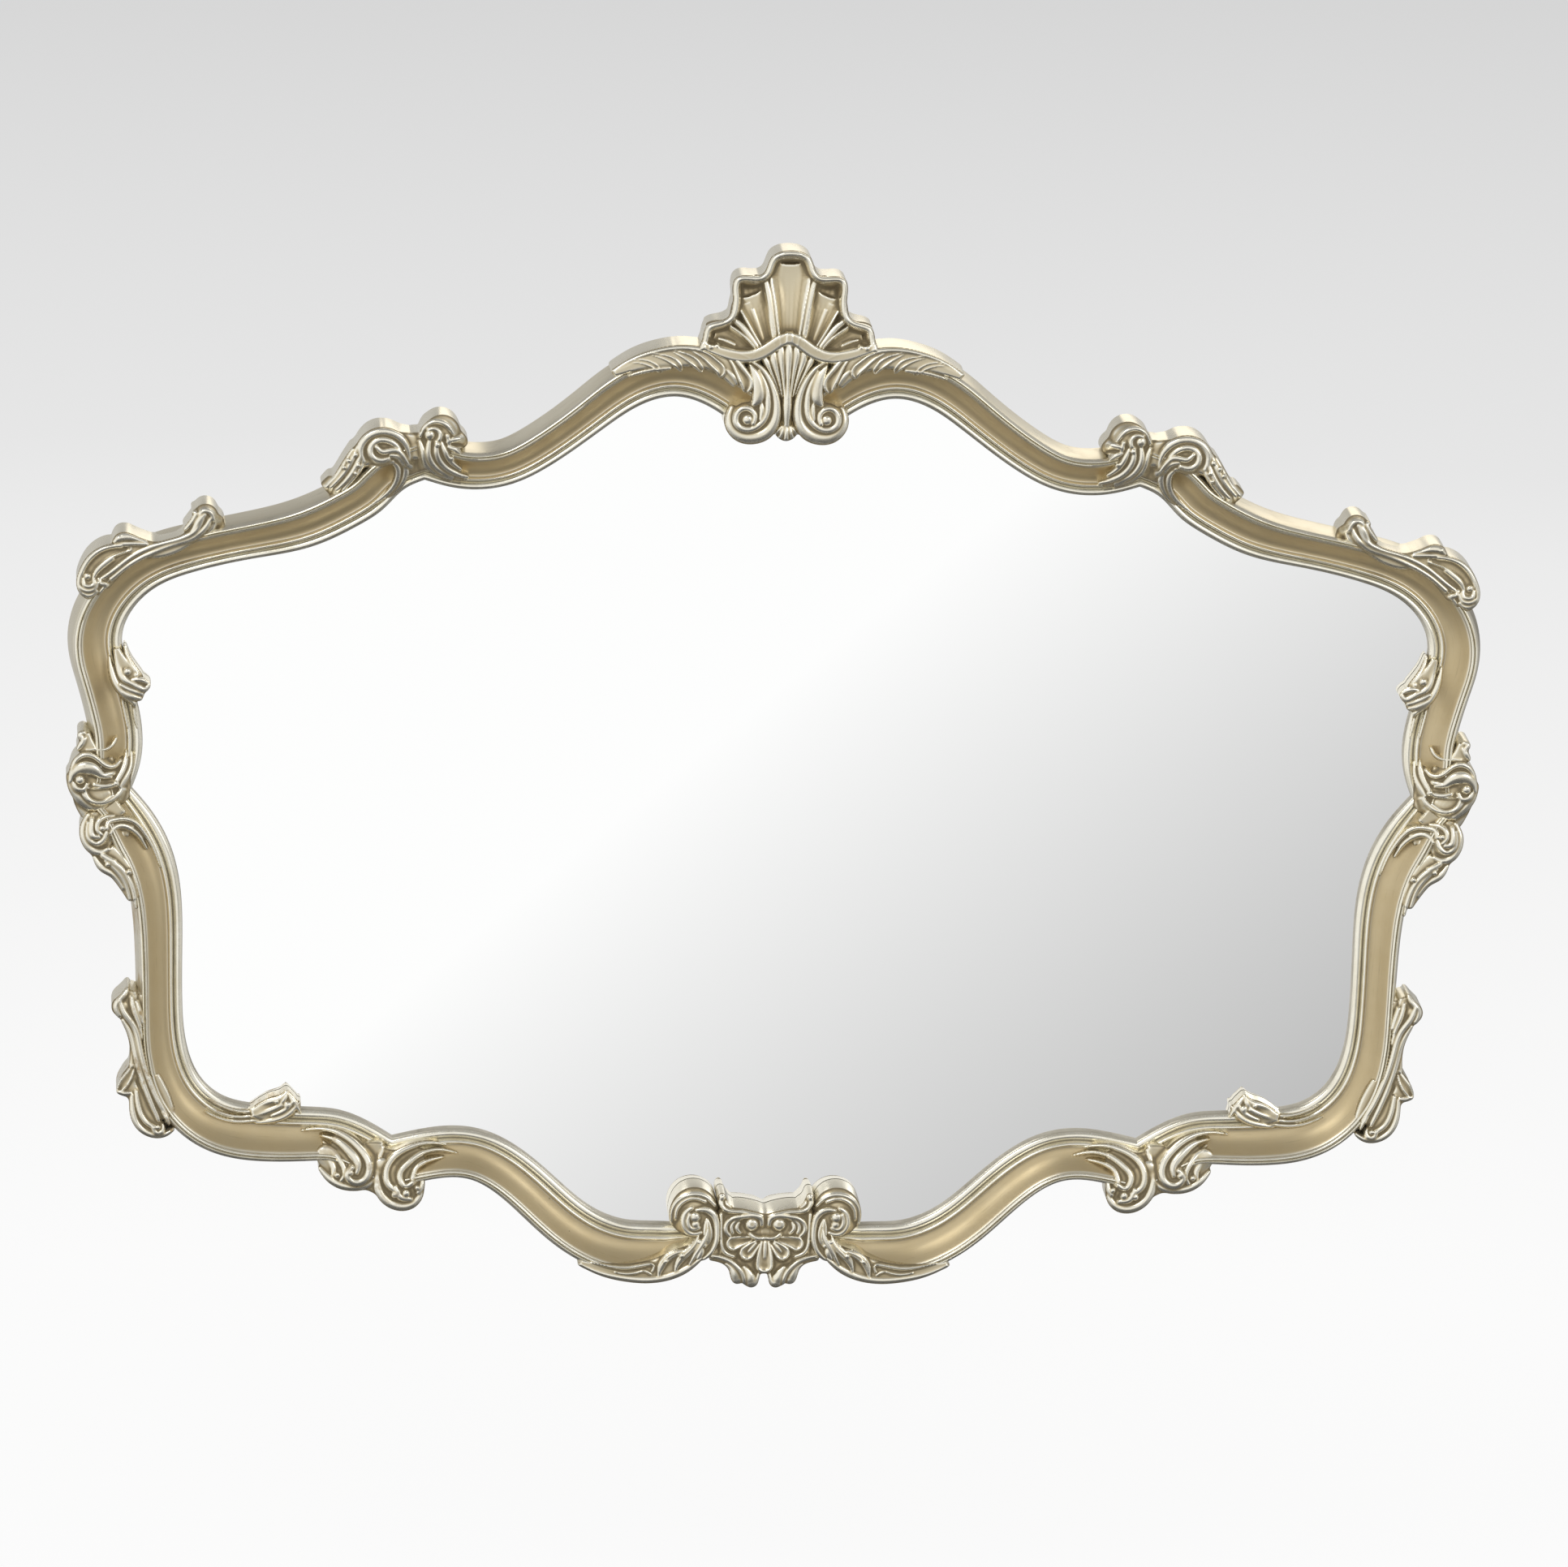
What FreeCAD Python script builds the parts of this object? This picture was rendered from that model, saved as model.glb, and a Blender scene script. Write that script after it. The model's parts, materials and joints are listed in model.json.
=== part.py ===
import FreeCAD, Part
import math
import os
from FreeCAD import Vector

# Rococo wall mirror: a mitred, moulded frame with applied carving, glass, backing board and hangers.
# X runs to the right seen from the front, Z up, and the front faces -Y. The wall is the plane Y = 0.
# Everything right of the middle is modelled once and mirrored to the left.

# Overall sizes
frame_width = 1216.0
frame_height = 919.0
rail_width = 42.0
rail_thickness = 32.0
wall_gap = 6.0
hang_height = 95.0

# Glass, board and the rebate that holds them
glass_thickness = 4.0
board_thickness = 3.0
rebate_width = 10.0
rebate_play = 0.3
glass_overlap = 7.0
board_overlap = 7.6
lip_thickness = 3.0

# Applied carving
glue_gap = 0.25
glass_clearance = 1.0
scroll_proud = 6.0
leaf_proud = 2.0
crest_thickness = 32.0
band_height = 3.0

# Hangers: a screwed strap with a folded eye, and a ring that swings in it
strap_width = 16.0
strap_length = 44.0
strap_thickness = 1.2
ring_wire = 2.4
ring_inner_width = 22.0
ring_drop = 18.0
eye_play = 0.25
strap_screw_step = 10.0

# Turn buttons, wall bumpers and screws
button_length = 30.0
button_width = 11.0
button_thickness = 1.6
button_play = 0.3
button_inset = 7.0
bumper_radius = 6.0
bumper_inset = 17.0
screw_shank_radius = 1.5
screw_head_radius = 3.2
screw_head_height = 1.6
screw_length = 12.0
screw_play = 0.2

# One overrun serves every cut, the rails run a little past their mitres before they are trimmed,
# and corners this close to a plane count as flat
overrun = 20.0
mitre_overrun = 5.0
flat_limit = 0.00000001

# How finely curves are cut into straight runs
rail_runs = 16
spiral_points = 10
eye_sides = 6
scoop_sides = 8
round_sides = 8
wire_sides = 8
ring_arc_runs = 8

# Proportions of the carving: how far its blocks and rims draw in, and how a volute and a flute run
spiral_turns = 1.25
spiral_close_share = 0.7
fillet_share = 0.3
eye_share = 0.24
body_taper_share = 0.14
rim_taper_share = 0.05
knee_share = 0.72
scoop_rings_shares = [(0.00, 0.10), (0.55, 0.62), (1.00, 1.00), (1.55, 0.70), (1.85, 0.20)]

half_width = frame_width / 2
half_height = frame_height / 2
rebate_depth = board_thickness + glass_thickness + rebate_play
frame_back = -wall_gap
middle_plane = Vector(1, 0, 0)
origin = Vector(0, 0, 0)

# Sight edge of each rail from the top middle round to the bottom middle: the shares of half the
# frame's width, of half its height, and of the rail's nominal width there
top_path_shares = [
    (0.000, 0.643, 0.90), (0.046, 0.647, 0.93), (0.092, 0.682, 0.98), (0.156, 0.712, 1.02),
    (0.197, 0.699, 1.00), (0.247, 0.657, 0.93), (0.329, 0.578, 0.90), (0.378, 0.545, 0.90),
    (0.424, 0.533, 0.92), (0.467, 0.537, 0.93), (0.503, 0.550, 0.95)]
shoulder_path_shares = [
    (0.503, 0.550, 0.95), (0.530, 0.533, 0.98), (0.559, 0.495, 1.00), (0.595, 0.462, 1.00),
    (0.658, 0.422, 1.00), (0.740, 0.398, 0.93), (0.822, 0.372, 0.95), (0.872, 0.345, 1.00),
    (0.905, 0.306, 1.05), (0.923, 0.245, 1.10), (0.916, 0.195, 1.10), (0.901, 0.123, 1.10),
    (0.893, 0.036, 1.10), (0.900, -0.014, 1.12), (0.908, -0.043, 1.14)]
lower_path_shares = [
    (0.908, -0.043, 1.14), (0.882, -0.084, 1.12), (0.852, -0.156, 1.10), (0.837, -0.241, 1.05),
    (0.834, -0.339, 0.98), (0.833, -0.458, 0.95), (0.824, -0.552, 1.02), (0.804, -0.608, 1.10),
    (0.770, -0.643, 1.17), (0.724, -0.656, 1.19), (0.658, -0.662, 1.12), (0.612, -0.667, 1.07),
    (0.571, -0.687, 1.05), (0.533, -0.717, 1.05)]
bottom_path_shares = [
    (0.533, -0.717, 1.05), (0.493, -0.705, 1.05), (0.447, -0.698, 1.05), (0.403, -0.706, 1.05),
    (0.354, -0.738, 1.05), (0.296, -0.802, 1.07), (0.247, -0.855, 1.10), (0.197, -0.881, 1.14),
    (0.156, -0.884, 1.14), (0.082, -0.889, 1.10), (0.000, -0.891, 1.05)]

# Face of the moulding, from the sight edge out to the wall side: shares of the rail's width and
# thickness. A rounded inner torus, a groove, a ridge, the wide cove, the outer bead and the wall.
face_shares = [
    (0.05, 0.47), (0.14, 0.49), (0.19, 0.41), (0.25, 0.55), (0.50, 0.62), (0.67, 0.77),
    (0.77, 0.97), (0.86, 0.99)]
# The plain bridge under an applied carving: it rests on the torus, the ridge and the bead
seat_shares = [(0.05, 0.50), (0.29, 0.56), (0.77, 1.00), (0.88, 0.99)]


# The carvings are drawn on a sheet that is sized by the moulding: half its width and half its
# height in rail widths. Each keeps to one sight point when the frame changes its size.
sheet_half_width_share = 14.476
sheet_half_height_share = 10.940
crest_anchor_shares = (0.000, 0.643)
crest_leaf_anchor_shares = (0.156, 0.712)
upper_cusp_anchor_shares = (0.503, 0.550)
shoulder_anchor_shares = (0.872, 0.345)
side_leaf_anchor_shares = (0.901, 0.123)
waist_anchor_shares = (0.908, -0.043)
side_scroll_anchor_shares = (0.882, -0.084)
lower_anchor_shares = (0.824, -0.552)
sill_anchor_shares = (0.658, -0.662)
bottom_cusp_anchor_shares = (0.533, -0.717)
bottom_leaf_anchor_shares = (0.197, -0.881)
bottom_anchor_shares = (0.000, -0.891)

# Outlines of the right-hand carvings in the front view, and of the right half of the middle ones,
# drawn on the sheet
crest_shell_shares = [
    (0.000, 1.000), (0.013, 0.998), (0.024, 0.981), (0.036, 0.949), (0.054, 0.945), (0.072, 0.943),
    (0.079, 0.930), (0.080, 0.897), (0.084, 0.865), (0.094, 0.856), (0.109, 0.850), (0.116, 0.837),
    (0.114, 0.824), (0.122, 0.808), (0.125, 0.776), (0.099, 0.732), (0.000, 0.717)]
crest_band_shares = [
    (0.000, 0.841), (0.058, 0.798), (0.122, 0.820), (0.125, 0.806), (0.094, 0.795), (0.058, 0.782),
    (0.000, 0.828)]
palmette_shares = [
    (0.000, 0.617), (0.012, 0.628), (0.013, 0.684), (0.020, 0.728), (0.021, 0.776), (0.026, 0.800),
    (0.000, 0.824)]
cartouche_shares = [
    (0.000, -0.839), (0.023, -0.826), (0.043, -0.820), (0.054, -0.798), (0.064, -0.802),
    (0.067, -0.826), (0.066, -0.861), (0.069, -0.904), (0.061, -0.935), (0.046, -0.948),
    (0.049, -0.974), (0.039, -0.992), (0.023, -1.000), (0.010, -0.994), (0.003, -0.976),
    (0.000, -0.972)]
crest_scroll_shares = [
    (0.020, 0.684), (0.016, 0.636), (0.028, 0.615), (0.051, 0.608), (0.076, 0.619), (0.089, 0.652),
    (0.084, 0.689), (0.069, 0.713), (0.066, 0.732), (0.082, 0.758), (0.104, 0.778), (0.107, 0.795),
    (0.092, 0.793), (0.060, 0.776), (0.034, 0.791), (0.026, 0.776), (0.026, 0.728)]
crest_leaf_shares = [
    (0.112, 0.782), (0.130, 0.804), (0.156, 0.810), (0.189, 0.802), (0.222, 0.782), (0.250, 0.754),
    (0.224, 0.758), (0.194, 0.773), (0.156, 0.780), (0.128, 0.771), (0.108, 0.762)]
upper_clasp_shares = [
    (0.444, 0.597), (0.456, 0.632), (0.459, 0.658), (0.467, 0.678), (0.479, 0.684), (0.493, 0.678),
    (0.508, 0.658), (0.523, 0.645), (0.543, 0.647), (0.567, 0.643), (0.586, 0.625), (0.602, 0.599),
    (0.615, 0.569), (0.638, 0.532), (0.618, 0.536), (0.595, 0.558), (0.569, 0.567), (0.543, 0.556),
    (0.523, 0.571), (0.503, 0.567), (0.487, 0.549), (0.467, 0.549), (0.452, 0.569)]
shoulder_leaf_shares = [
    (0.773, 0.460), (0.788, 0.477), (0.788, 0.497), (0.794, 0.510), (0.806, 0.513), (0.817, 0.506),
    (0.822, 0.484), (0.831, 0.464), (0.852, 0.449), (0.880, 0.443), (0.903, 0.449), (0.921, 0.456),
    (0.934, 0.440), (0.947, 0.419), (0.967, 0.395), (0.984, 0.366), (0.987, 0.340), (0.980, 0.314),
    (0.965, 0.303), (0.952, 0.314), (0.949, 0.338), (0.933, 0.366), (0.896, 0.399), (0.847, 0.421),
    (0.814, 0.434), (0.786, 0.445)]
side_leaf_shares = [
    (0.931, 0.223), (0.921, 0.197), (0.908, 0.175), (0.896, 0.160), (0.885, 0.149), (0.893, 0.138),
    (0.891, 0.125), (0.901, 0.112), (0.914, 0.114), (0.928, 0.149), (0.939, 0.188)]
side_volute_shares = [
    (0.974, 0.066), (0.984, 0.040), (0.992, 0.014), (0.997, -0.017), (0.990, -0.043), (0.977, -0.064),
    (0.957, -0.071), (0.934, -0.067), (0.916, -0.047), (0.914, -0.017), (0.924, 0.010), (0.944, 0.025),
    (0.959, 0.040)]
side_scroll_shares = [
    (0.974, -0.082), (0.979, -0.112), (0.975, -0.143), (0.964, -0.167), (0.949, -0.188),
    (0.934, -0.212), (0.916, -0.239), (0.914, -0.212), (0.923, -0.182), (0.924, -0.151),
    (0.918, -0.125), (0.923, -0.099), (0.939, -0.082), (0.957, -0.075)]
lower_leaf_shares = [
    (0.896, -0.480), (0.905, -0.461), (0.908, -0.441), (0.921, -0.433), (0.933, -0.443),
    (0.934, -0.461), (0.926, -0.478), (0.914, -0.493), (0.906, -0.517), (0.903, -0.548),
    (0.908, -0.578), (0.919, -0.595), (0.923, -0.615), (0.910, -0.632), (0.906, -0.661),
    (0.895, -0.685), (0.875, -0.700), (0.852, -0.704), (0.836, -0.698), (0.842, -0.680),
    (0.862, -0.669), (0.878, -0.643), (0.888, -0.604), (0.890, -0.556), (0.891, -0.513)]
sill_leaf_shares = [
    (0.730, -0.665), (0.707, -0.641), (0.691, -0.626), (0.681, -0.615), (0.673, -0.630),
    (0.661, -0.645), (0.650, -0.663), (0.664, -0.680), (0.691, -0.687), (0.717, -0.680)]
bottom_clasp_shares = [
    (0.655, -0.770), (0.633, -0.793), (0.609, -0.803), (0.579, -0.804), (0.561, -0.811),
    (0.548, -0.833), (0.526, -0.844), (0.503, -0.841), (0.488, -0.822), (0.487, -0.796),
    (0.493, -0.765), (0.513, -0.743), (0.539, -0.735), (0.559, -0.726), (0.579, -0.704),
    (0.605, -0.700), (0.632, -0.713), (0.648, -0.739)]
bottom_scroll_shares = [
    (0.082, -0.798), (0.099, -0.790), (0.122, -0.802), (0.138, -0.837), (0.135, -0.874),
    (0.118, -0.900), (0.110, -0.922), (0.095, -0.935), (0.079, -0.937), (0.072, -0.915),
    (0.071, -0.861), (0.072, -0.817)]
bottom_leaf_shares = [
    (0.095, -0.957), (0.123, -0.972), (0.156, -0.985), (0.197, -0.985), (0.238, -0.970),
    (0.268, -0.944), (0.247, -0.941), (0.206, -0.961), (0.164, -0.963), (0.132, -0.952),
    (0.112, -0.935)]

# The hanger's place across the frame, and the places along each rail of its turn button and bumper
hanger_share = 0.956
button_run_shares = [("top", 0.60), ("shoulder", 0.30), ("lower", 0.34), ("bottom", 0.50)]
bumper_run_shares = [("top", 0.40), ("lower", 0.72)]

# Where the volutes curl: shares of place, radius as a share of the rail's width, hand and first angle
crest_volute_shares = [(0.053, 0.656, 0.50, 1, 60)]
upper_volute_shares = [(0.483, 0.632, 0.36, 1, 90), (0.563, 0.600, 0.43, -1, 90)]
shoulder_volute_shares = [(0.966, 0.338, 0.23, -1, 120)]
side_volute_eye_shares = [(0.962, -0.018, 0.40, 1, 120)]
side_scroll_eye_shares = [(0.949, -0.115, 0.34, -1, 90)]
lower_volute_shares = [(0.868, -0.684, 0.20, 1, 240)]
bottom_volute_shares = [(0.594, -0.765, 0.38, 1, 180), (0.519, -0.798, 0.44, -1, 0)]
bottom_scroll_eye_shares = [(0.101, -0.845, 0.48, -1, 90)]
cartouche_eye_shares = [(0.025, -0.880, 0.20, 1, 90)]

# Flutes of the crest shell and petals of the cartouche: root place, tip place, and the radius at
# the tip as a share of the rail's width
shell_flute_shares = [
    (0.000, 0.850, 0.000, 0.958, 0.25), (0.014, 0.846, 0.052, 0.912, 0.21),
    (0.034, 0.838, 0.094, 0.834, 0.15)]
petal_shares = [
    (0.000, -0.912, 0.000, -0.975, 0.10), (0.006, -0.910, 0.024, -0.962, 0.10),
    (0.008, -0.906, 0.038, -0.930, 0.09)]


def place(x_share, z_share):
    """A point of the front view, from its shares of the frame's half width and half height."""
    return Vector(x_share * half_width, 0, z_share * half_height)


def carved_place(x_share, z_share, anchor):
    """A point drawn on the carver's sheet, moved with the sheet's anchor to the frame's."""
    across = (x_share - anchor[0]) * sheet_half_width_share
    up = (z_share - anchor[1]) * sheet_half_height_share
    return place(*anchor) + Vector(across, 0, up) * rail_width


def at_depth(point, height):
    """The same point raised from the frame's back towards the viewer."""
    return Vector(point.x, frame_back - height, point.z)


def path_curve(shares):
    """A smooth line through a rail's points that carries the rail's width in its Y value."""
    curve = Part.BSplineCurve()
    curve.interpolate([place(x, z) + Vector(0, w * rail_width, 0) for x, z, w in shares])
    return curve


def station(curve, t):
    """Sight point, direction and rail width at parameter t of a path."""
    point, slope = curve.getD1(t)
    return Vector(point.x, 0, point.z), Vector(slope.x, 0, slope.z).normalize(), point.y


def outward_of(along):
    """The direction away from the glass, square to a direction of travel."""
    return Vector(-along.z, 0, along.x)


def rail_stations(curve, count, start_run, end_run):
    """Sight points and widths along a rail, with straight runs past its ends for the mitres."""
    first, last = curve.FirstParameter, curve.LastParameter
    rows = [station(curve, first + (last - first) * i / count) for i in range(count + 1)]
    (start, start_along, start_width), (end, end_along, end_width) = rows[0], rows[-1]
    points = [(point, width) for point, _, width in rows]
    if start_run:
        points.insert(0, (start - start_along * start_run, start_width))
    if end_run:
        points.append((end + end_along * end_run, end_width))
    return points


def section_axes(points):
    """At each sight point, the way out across the rail, lengthened as in a mitre of its two runs."""
    runs = [(after - before).normalize() for before, after in zip(points, points[1:])]
    axes = []
    for before, after in zip(runs[:1] + runs, runs + runs[-1:]):
        half_turn = before.getAngle(after) / 2
        axes.append(outward_of((before + after).normalize()) / math.cos(half_turn))
    return axes


def rail_section(sight, across, width, gap=0.0, seat=False):
    """The moulding's section at one station; a seat is its plain bridge, grown by a gap."""
    face = seat_shares if seat else face_shares
    lip = rebate_depth + lip_thickness
    corners = [(-gap, rebate_depth), (-gap, lip)]
    corners += [(u * width, v * rail_thickness + gap) for u, v in face]
    corners += [(width + gap, 0), (rebate_width, 0), (rebate_width, rebate_depth)]
    return [at_depth(sight + across * u, v) for u, v in corners]


def polygon_face(points):
    """A flat face from its corners."""
    return Part.Face(Part.makePolygon(points + points[:1]))


def is_flat(a, b, c, d):
    """Whether four corners lie in one plane, within the fitting of the faces."""
    normal = (b - a).cross(c - a).normalize()
    return abs((d - a).dot(normal)) < flat_limit


def skin(loops, ring=False):
    """A solid with flat faces only from point loops of equal count, capped or closed in a ring."""
    faces = [] if ring else [polygon_face(loops[0]), polygon_face(loops[-1])]
    for low, high in zip(loops, loops[1:] + loops[:1] if ring else loops[1:]):
        for i in range(len(low)):
            a, b, c, d = low[i - 1], low[i], high[i], high[i - 1]
            if is_flat(a, b, c, d):
                faces.append(polygon_face([a, b, c, d]))
            else:
                faces += [polygon_face([a, b, c]), polygon_face([a, c, d])]
    shell = Part.Shell(faces)
    shell.sewShape()
    solid = Part.Solid(shell)
    if solid.Volume < 0:
        solid.reverse()
    return solid


def rail_solid(curve, count, start_run, end_run, gap=0.0, seat=False):
    """One length of moulding along a path, in short straight runs."""
    points = rail_stations(curve, count, start_run, end_run)
    axes = section_axes([point for point, _ in points])
    sections = [rail_section(point, across, width, gap, seat)
                for (point, width), across in zip(points, axes)]
    return skin(sections)


def mitre_between(before, after):
    """The mitre at a cusp: its point, and the direction square to the cut."""
    corner, along_before, width = station(before, before.LastParameter)
    _, along_after, _ = station(after, after.FirstParameter)
    across = (along_before + along_after).normalize()
    half_turn = along_before.getAngle(along_after) / 2
    return corner, across, width * math.tan(half_turn) + mitre_overrun


def half_space(corner, away):
    """A block that covers everything on one side of a plane square to the front view."""
    size = frame_width
    side = Vector(-away.z, 0, away.x)
    centre = Vector(corner.x, frame_back - rail_thickness / 2, corner.z)
    low = centre - side * (size / 2) - Vector(0, size / 2, 0)
    high = low + Vector(0, size, 0)
    return polygon_face([low, low + side * size, high + side * size, high]).extrude(away * size)


def largest(shape):
    """The main solid of a cut, without any crumbs beside it."""
    return max(shape.Solids, key=lambda solid: solid.Volume)


def cut_rail(name, gap=0.0, seat=False):
    """A rail trimmed to its mitre planes; the middle ends are square to the path."""
    start, end = mitres[name]
    start_run = start[2] if start else 0
    end_run = end[2] if end else 0
    solid = rail_solid(curves[name], rail_runs, start_run, end_run, gap, seat)
    if start:
        solid = solid.cut(half_space(start[0], -start[1]))
    if end:
        solid = solid.cut(half_space(end[0], end[1]))
    return largest(solid)


def frame_line(offset):
    """The closed line round the glass opening, moved outwards by an offset."""
    points = []
    for curve in curves.values():
        stations = rail_stations(curve, rail_runs, 0, 0)
        points += [point for point, _ in stations][1 if points else 0:]
    moved = [point + across * offset for point, across in zip(points, section_axes(points))]
    return moved + [Vector(-point.x, 0, point.z) for point in moved[-2:0:-1]]


def turn_angles(count):
    """Evenly spaced angles of a round, with a flat side to the right."""
    return [2 * math.pi * (i + 1 / 2) / count for i in range(count)]


def disc_points(centre, radius, count):
    """The corners of a small round thing in the front view."""
    return [centre + Vector(math.cos(a), 0, math.sin(a)) * radius for a in turn_angles(count)]


def plate(points, low, high):
    """A flat solid of a front-view outline between two heights above the frame's back."""
    return polygon_face([at_depth(point, low) for point in points]).extrude(Vector(0, low - high, 0))


def both_halves(shares, anchor):
    """A closed outline from the right half of a symmetrical one."""
    right = [carved_place(x, z, anchor) for x, z in shares]
    return right + [Vector(-point.x, 0, point.z) for point in right[-2:0:-1]]


def tapered(points, low, knee, top, taper_share):
    """A carved block: upright to its knee, then drawn in to its face by a share of its size."""
    centre = sum(points, Vector(0, 0, 0)) / len(points)
    levels = [(low, 1), (knee, 1), (top, 1 - taper_share)]
    return skin([[at_depth(centre + (point - centre) * k, height) for point in points]
                 for height, k in levels])


def volute(x_share, z_share, radius_share, hand, first_angle, anchor):
    """A raised spiral fillet with a round eye, as carvers curl the end of a scroll."""
    centre = carved_place(x_share, z_share, anchor)
    radius = radius_share * rail_width
    outer, inner = [], []
    for i in range(spiral_points + 1):
        run = i / spiral_points
        angle = math.radians(first_angle) + hand * run * spiral_turns * 2 * math.pi
        way = Vector(math.cos(angle), 0, math.sin(angle))
        reach = radius * (1 - spiral_close_share * run)
        outer.append(centre + way * reach)
        inner.append(centre + way * (reach - radius * fillet_share * (1 - run / 2)))
    face = rail_thickness + scroll_proud
    fillet = plate(outer + inner[::-1], rail_thickness / 2, face)
    eye = disc_points(centre, radius * eye_share, eye_sides)
    return fillet.fuse(tapered(eye, rail_thickness / 2, rail_thickness, face, 1 - eye_share))


def scoop(root_x, root_z, tip_x, tip_z, radius_share, face, anchor):
    """A flute to cut: it deepens and widens from its root to a rounded tip."""
    root = at_depth(carved_place(root_x, root_z, anchor), face)
    tip = at_depth(carved_place(tip_x, tip_z, anchor), face)
    along = (tip - root).normalize()
    side = Vector(along.z, 0, -along.x)
    radius = radius_share * rail_width
    rings = []
    for run, size in scoop_rings_shares:
        middle = root + (tip - root) * min(run, 1) + along * (radius * max(run - 1, 0))
        rings.append([middle + (side * math.cos(a) + Vector(0, math.sin(a), 0)) * (radius * size)
                      for a in turn_angles(scoop_sides)])
    return skin(rings)


def fitted(solid, rail_names, others=()):
    """A carving cut to sit on its rails, clear of the glass and of the carvings beside it."""
    for name in rail_names:
        solid = solid.cut(seats[name])
        solid = solid.cut(seats[name].mirror(origin, middle_plane))
    for other in others:
        solid = solid.cut(other)
    return largest(solid.cut(keep_out))


def side_carving(shares, anchor, face, rail_names, volutes=()):
    """A right-hand carving from its outline and the volutes raised on it."""
    points = [carved_place(x, z, anchor) for x, z in shares]
    solid = tapered(points, 0, face * knee_share, face, body_taper_share)
    for row in volutes:
        solid = solid.fuse(volute(*row, anchor))
    return fitted(solid, rail_names)


def crest_shell():
    """The scallop on the top: a stepped rim, five flutes and the plain band under them."""
    knee = crest_thickness * knee_share
    outline = both_halves(crest_shell_shares, crest_anchor_shares)
    solid = tapered(outline, 0, knee, crest_thickness, rim_taper_share)
    for row in shell_flute_shares:
        flute = scoop(*row, crest_thickness, crest_anchor_shares)
        solid = solid.cut(flute)
        if row[2]:
            solid = solid.cut(flute.mirror(origin, middle_plane))
    band = both_halves(crest_band_shares, crest_anchor_shares)
    return solid.fuse(plate(band, crest_thickness / 2, crest_thickness + band_height))


def cartouche():
    """The plaque under the glass: two small volutes over a five-petalled flower and two feet."""
    knee = rail_thickness * knee_share
    outline = both_halves(cartouche_shares, bottom_anchor_shares)
    solid = tapered(outline, 0, knee, leaf_face, rim_taper_share)
    for row in petal_shares:
        petal = scoop(*row, leaf_face, bottom_anchor_shares)
        solid = solid.cut(petal)
        if row[2]:
            solid = solid.cut(petal.mirror(origin, middle_plane))
    for row in cartouche_eye_shares:
        curl = volute(*row, bottom_anchor_shares)
        solid = solid.fuse(curl).fuse(curl.mirror(origin, middle_plane))
    return solid


def back_place(curve, run_share, inset):
    """A place on the frame's back beside the rebate, and the way out from the glass there."""
    first, last = curve.FirstParameter, curve.LastParameter
    sight, along, _ = station(curve, first + (last - first) * run_share)
    outward = outward_of(along)
    return sight + outward * (rebate_width + inset), outward


def screw(spot, under_head):
    """A round-headed screw driven into the frame's back, its head this far behind the back."""
    head_end = -under_head - screw_head_height
    head = plate(disc_points(spot, screw_head_radius, round_sides), head_end, -under_head)
    shank_end = screw_length - under_head
    shank = plate(disc_points(spot, screw_shank_radius, round_sides), -under_head, shank_end)
    return head.fuse(shank)


def screw_hole(spot):
    """The clearance hole of a screw, to cut."""
    return plate(disc_points(spot, screw_shank_radius + screw_play, round_sides), -overrun, overrun)


def turn_button(pivot, outward):
    """A flat bar with round ends that turns on its screw and holds the board in."""
    side = Vector(-outward.z, 0, outward.x)
    radius = button_width / 2
    rim = []
    for centre, sign in ((pivot, 1), (pivot - outward * (button_length - button_width), -1)):
        for i in range(round_sides // 2 + 1):
            a = 2 * math.pi * i / round_sides - math.pi / 2
            rim.append(centre + (outward * math.cos(a) + side * math.sin(a)) * (radius * sign))
    return plate(rim, -button_play - button_thickness, -button_play).cut(screw_hole(pivot))


def eye_section(radius, x):
    """The corners of a round about the hanger's eye, at one place along its axis."""
    return [Vector(x, eye_axis.y + math.cos(a) * radius, eye_axis.z + math.sin(a) * radius)
            for a in turn_angles(round_sides)]


def strap_screw_places():
    """The two screws of a strap, in line below its eye."""
    lowest = eye_axis.z - strap_length + strap_width / 2
    return [Vector(hanger_x, 0, lowest + strap_screw_step * i) for i in (0, 1)]


def hanger_strap():
    """The strap that is screwed to the frame, with its end folded round the ring."""
    left, right = hanger_x - strap_width / 2, hanger_x + strap_width / 2
    foot = eye_axis.z - strap_length
    tube = polygon_face(eye_section(eye_outer, left)).extrude(Vector(strap_width, 0, 0))
    bore = polygon_face(eye_section(eye_inner, left - overrun)).extrude(
        Vector(strap_width + overrun * 2, 0, 0))
    blank = [Vector(left, 0, eye_axis.z), Vector(right, 0, eye_axis.z), Vector(right, 0, foot),
             Vector(left, 0, foot)]
    strap = tube.fuse(plate(blank, -strap_thickness, 0)).cut(bore)
    for spot in strap_screw_places():
        strap = strap.cut(screw_hole(spot))
    return strap


def hanger_ring():
    """The D-shaped wire ring, hanging down from its straight bar in the eye."""
    half = (ring_inner_width + ring_wire) / 2
    leg = ring_drop - ring_inner_width / 2
    line = [Vector(half, 0, 0)]
    for i in range(ring_arc_runs + 1):
        a = -math.pi * i / ring_arc_runs
        line.append(Vector(half * math.cos(a), 0, half * math.sin(a) - leg))
    line.append(Vector(-half, 0, 0))
    runs = [(after - before).normalize() for before, after in zip(line, line[1:] + line[:1])]
    middle = eye_axis + Vector(hanger_x, 0, 0)
    loops = []
    for point, before, after in zip(line, runs[-1:] + runs, runs):
        across = outward_of((before + after).normalize()) / math.cos(before.getAngle(after) / 2)
        loops.append([middle + point + (across * math.cos(a) + Vector(0, math.sin(a), 0)) * (ring_wire / 2)
                      for a in turn_angles(wire_sides)])
    return skin(loops, ring=True)


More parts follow.
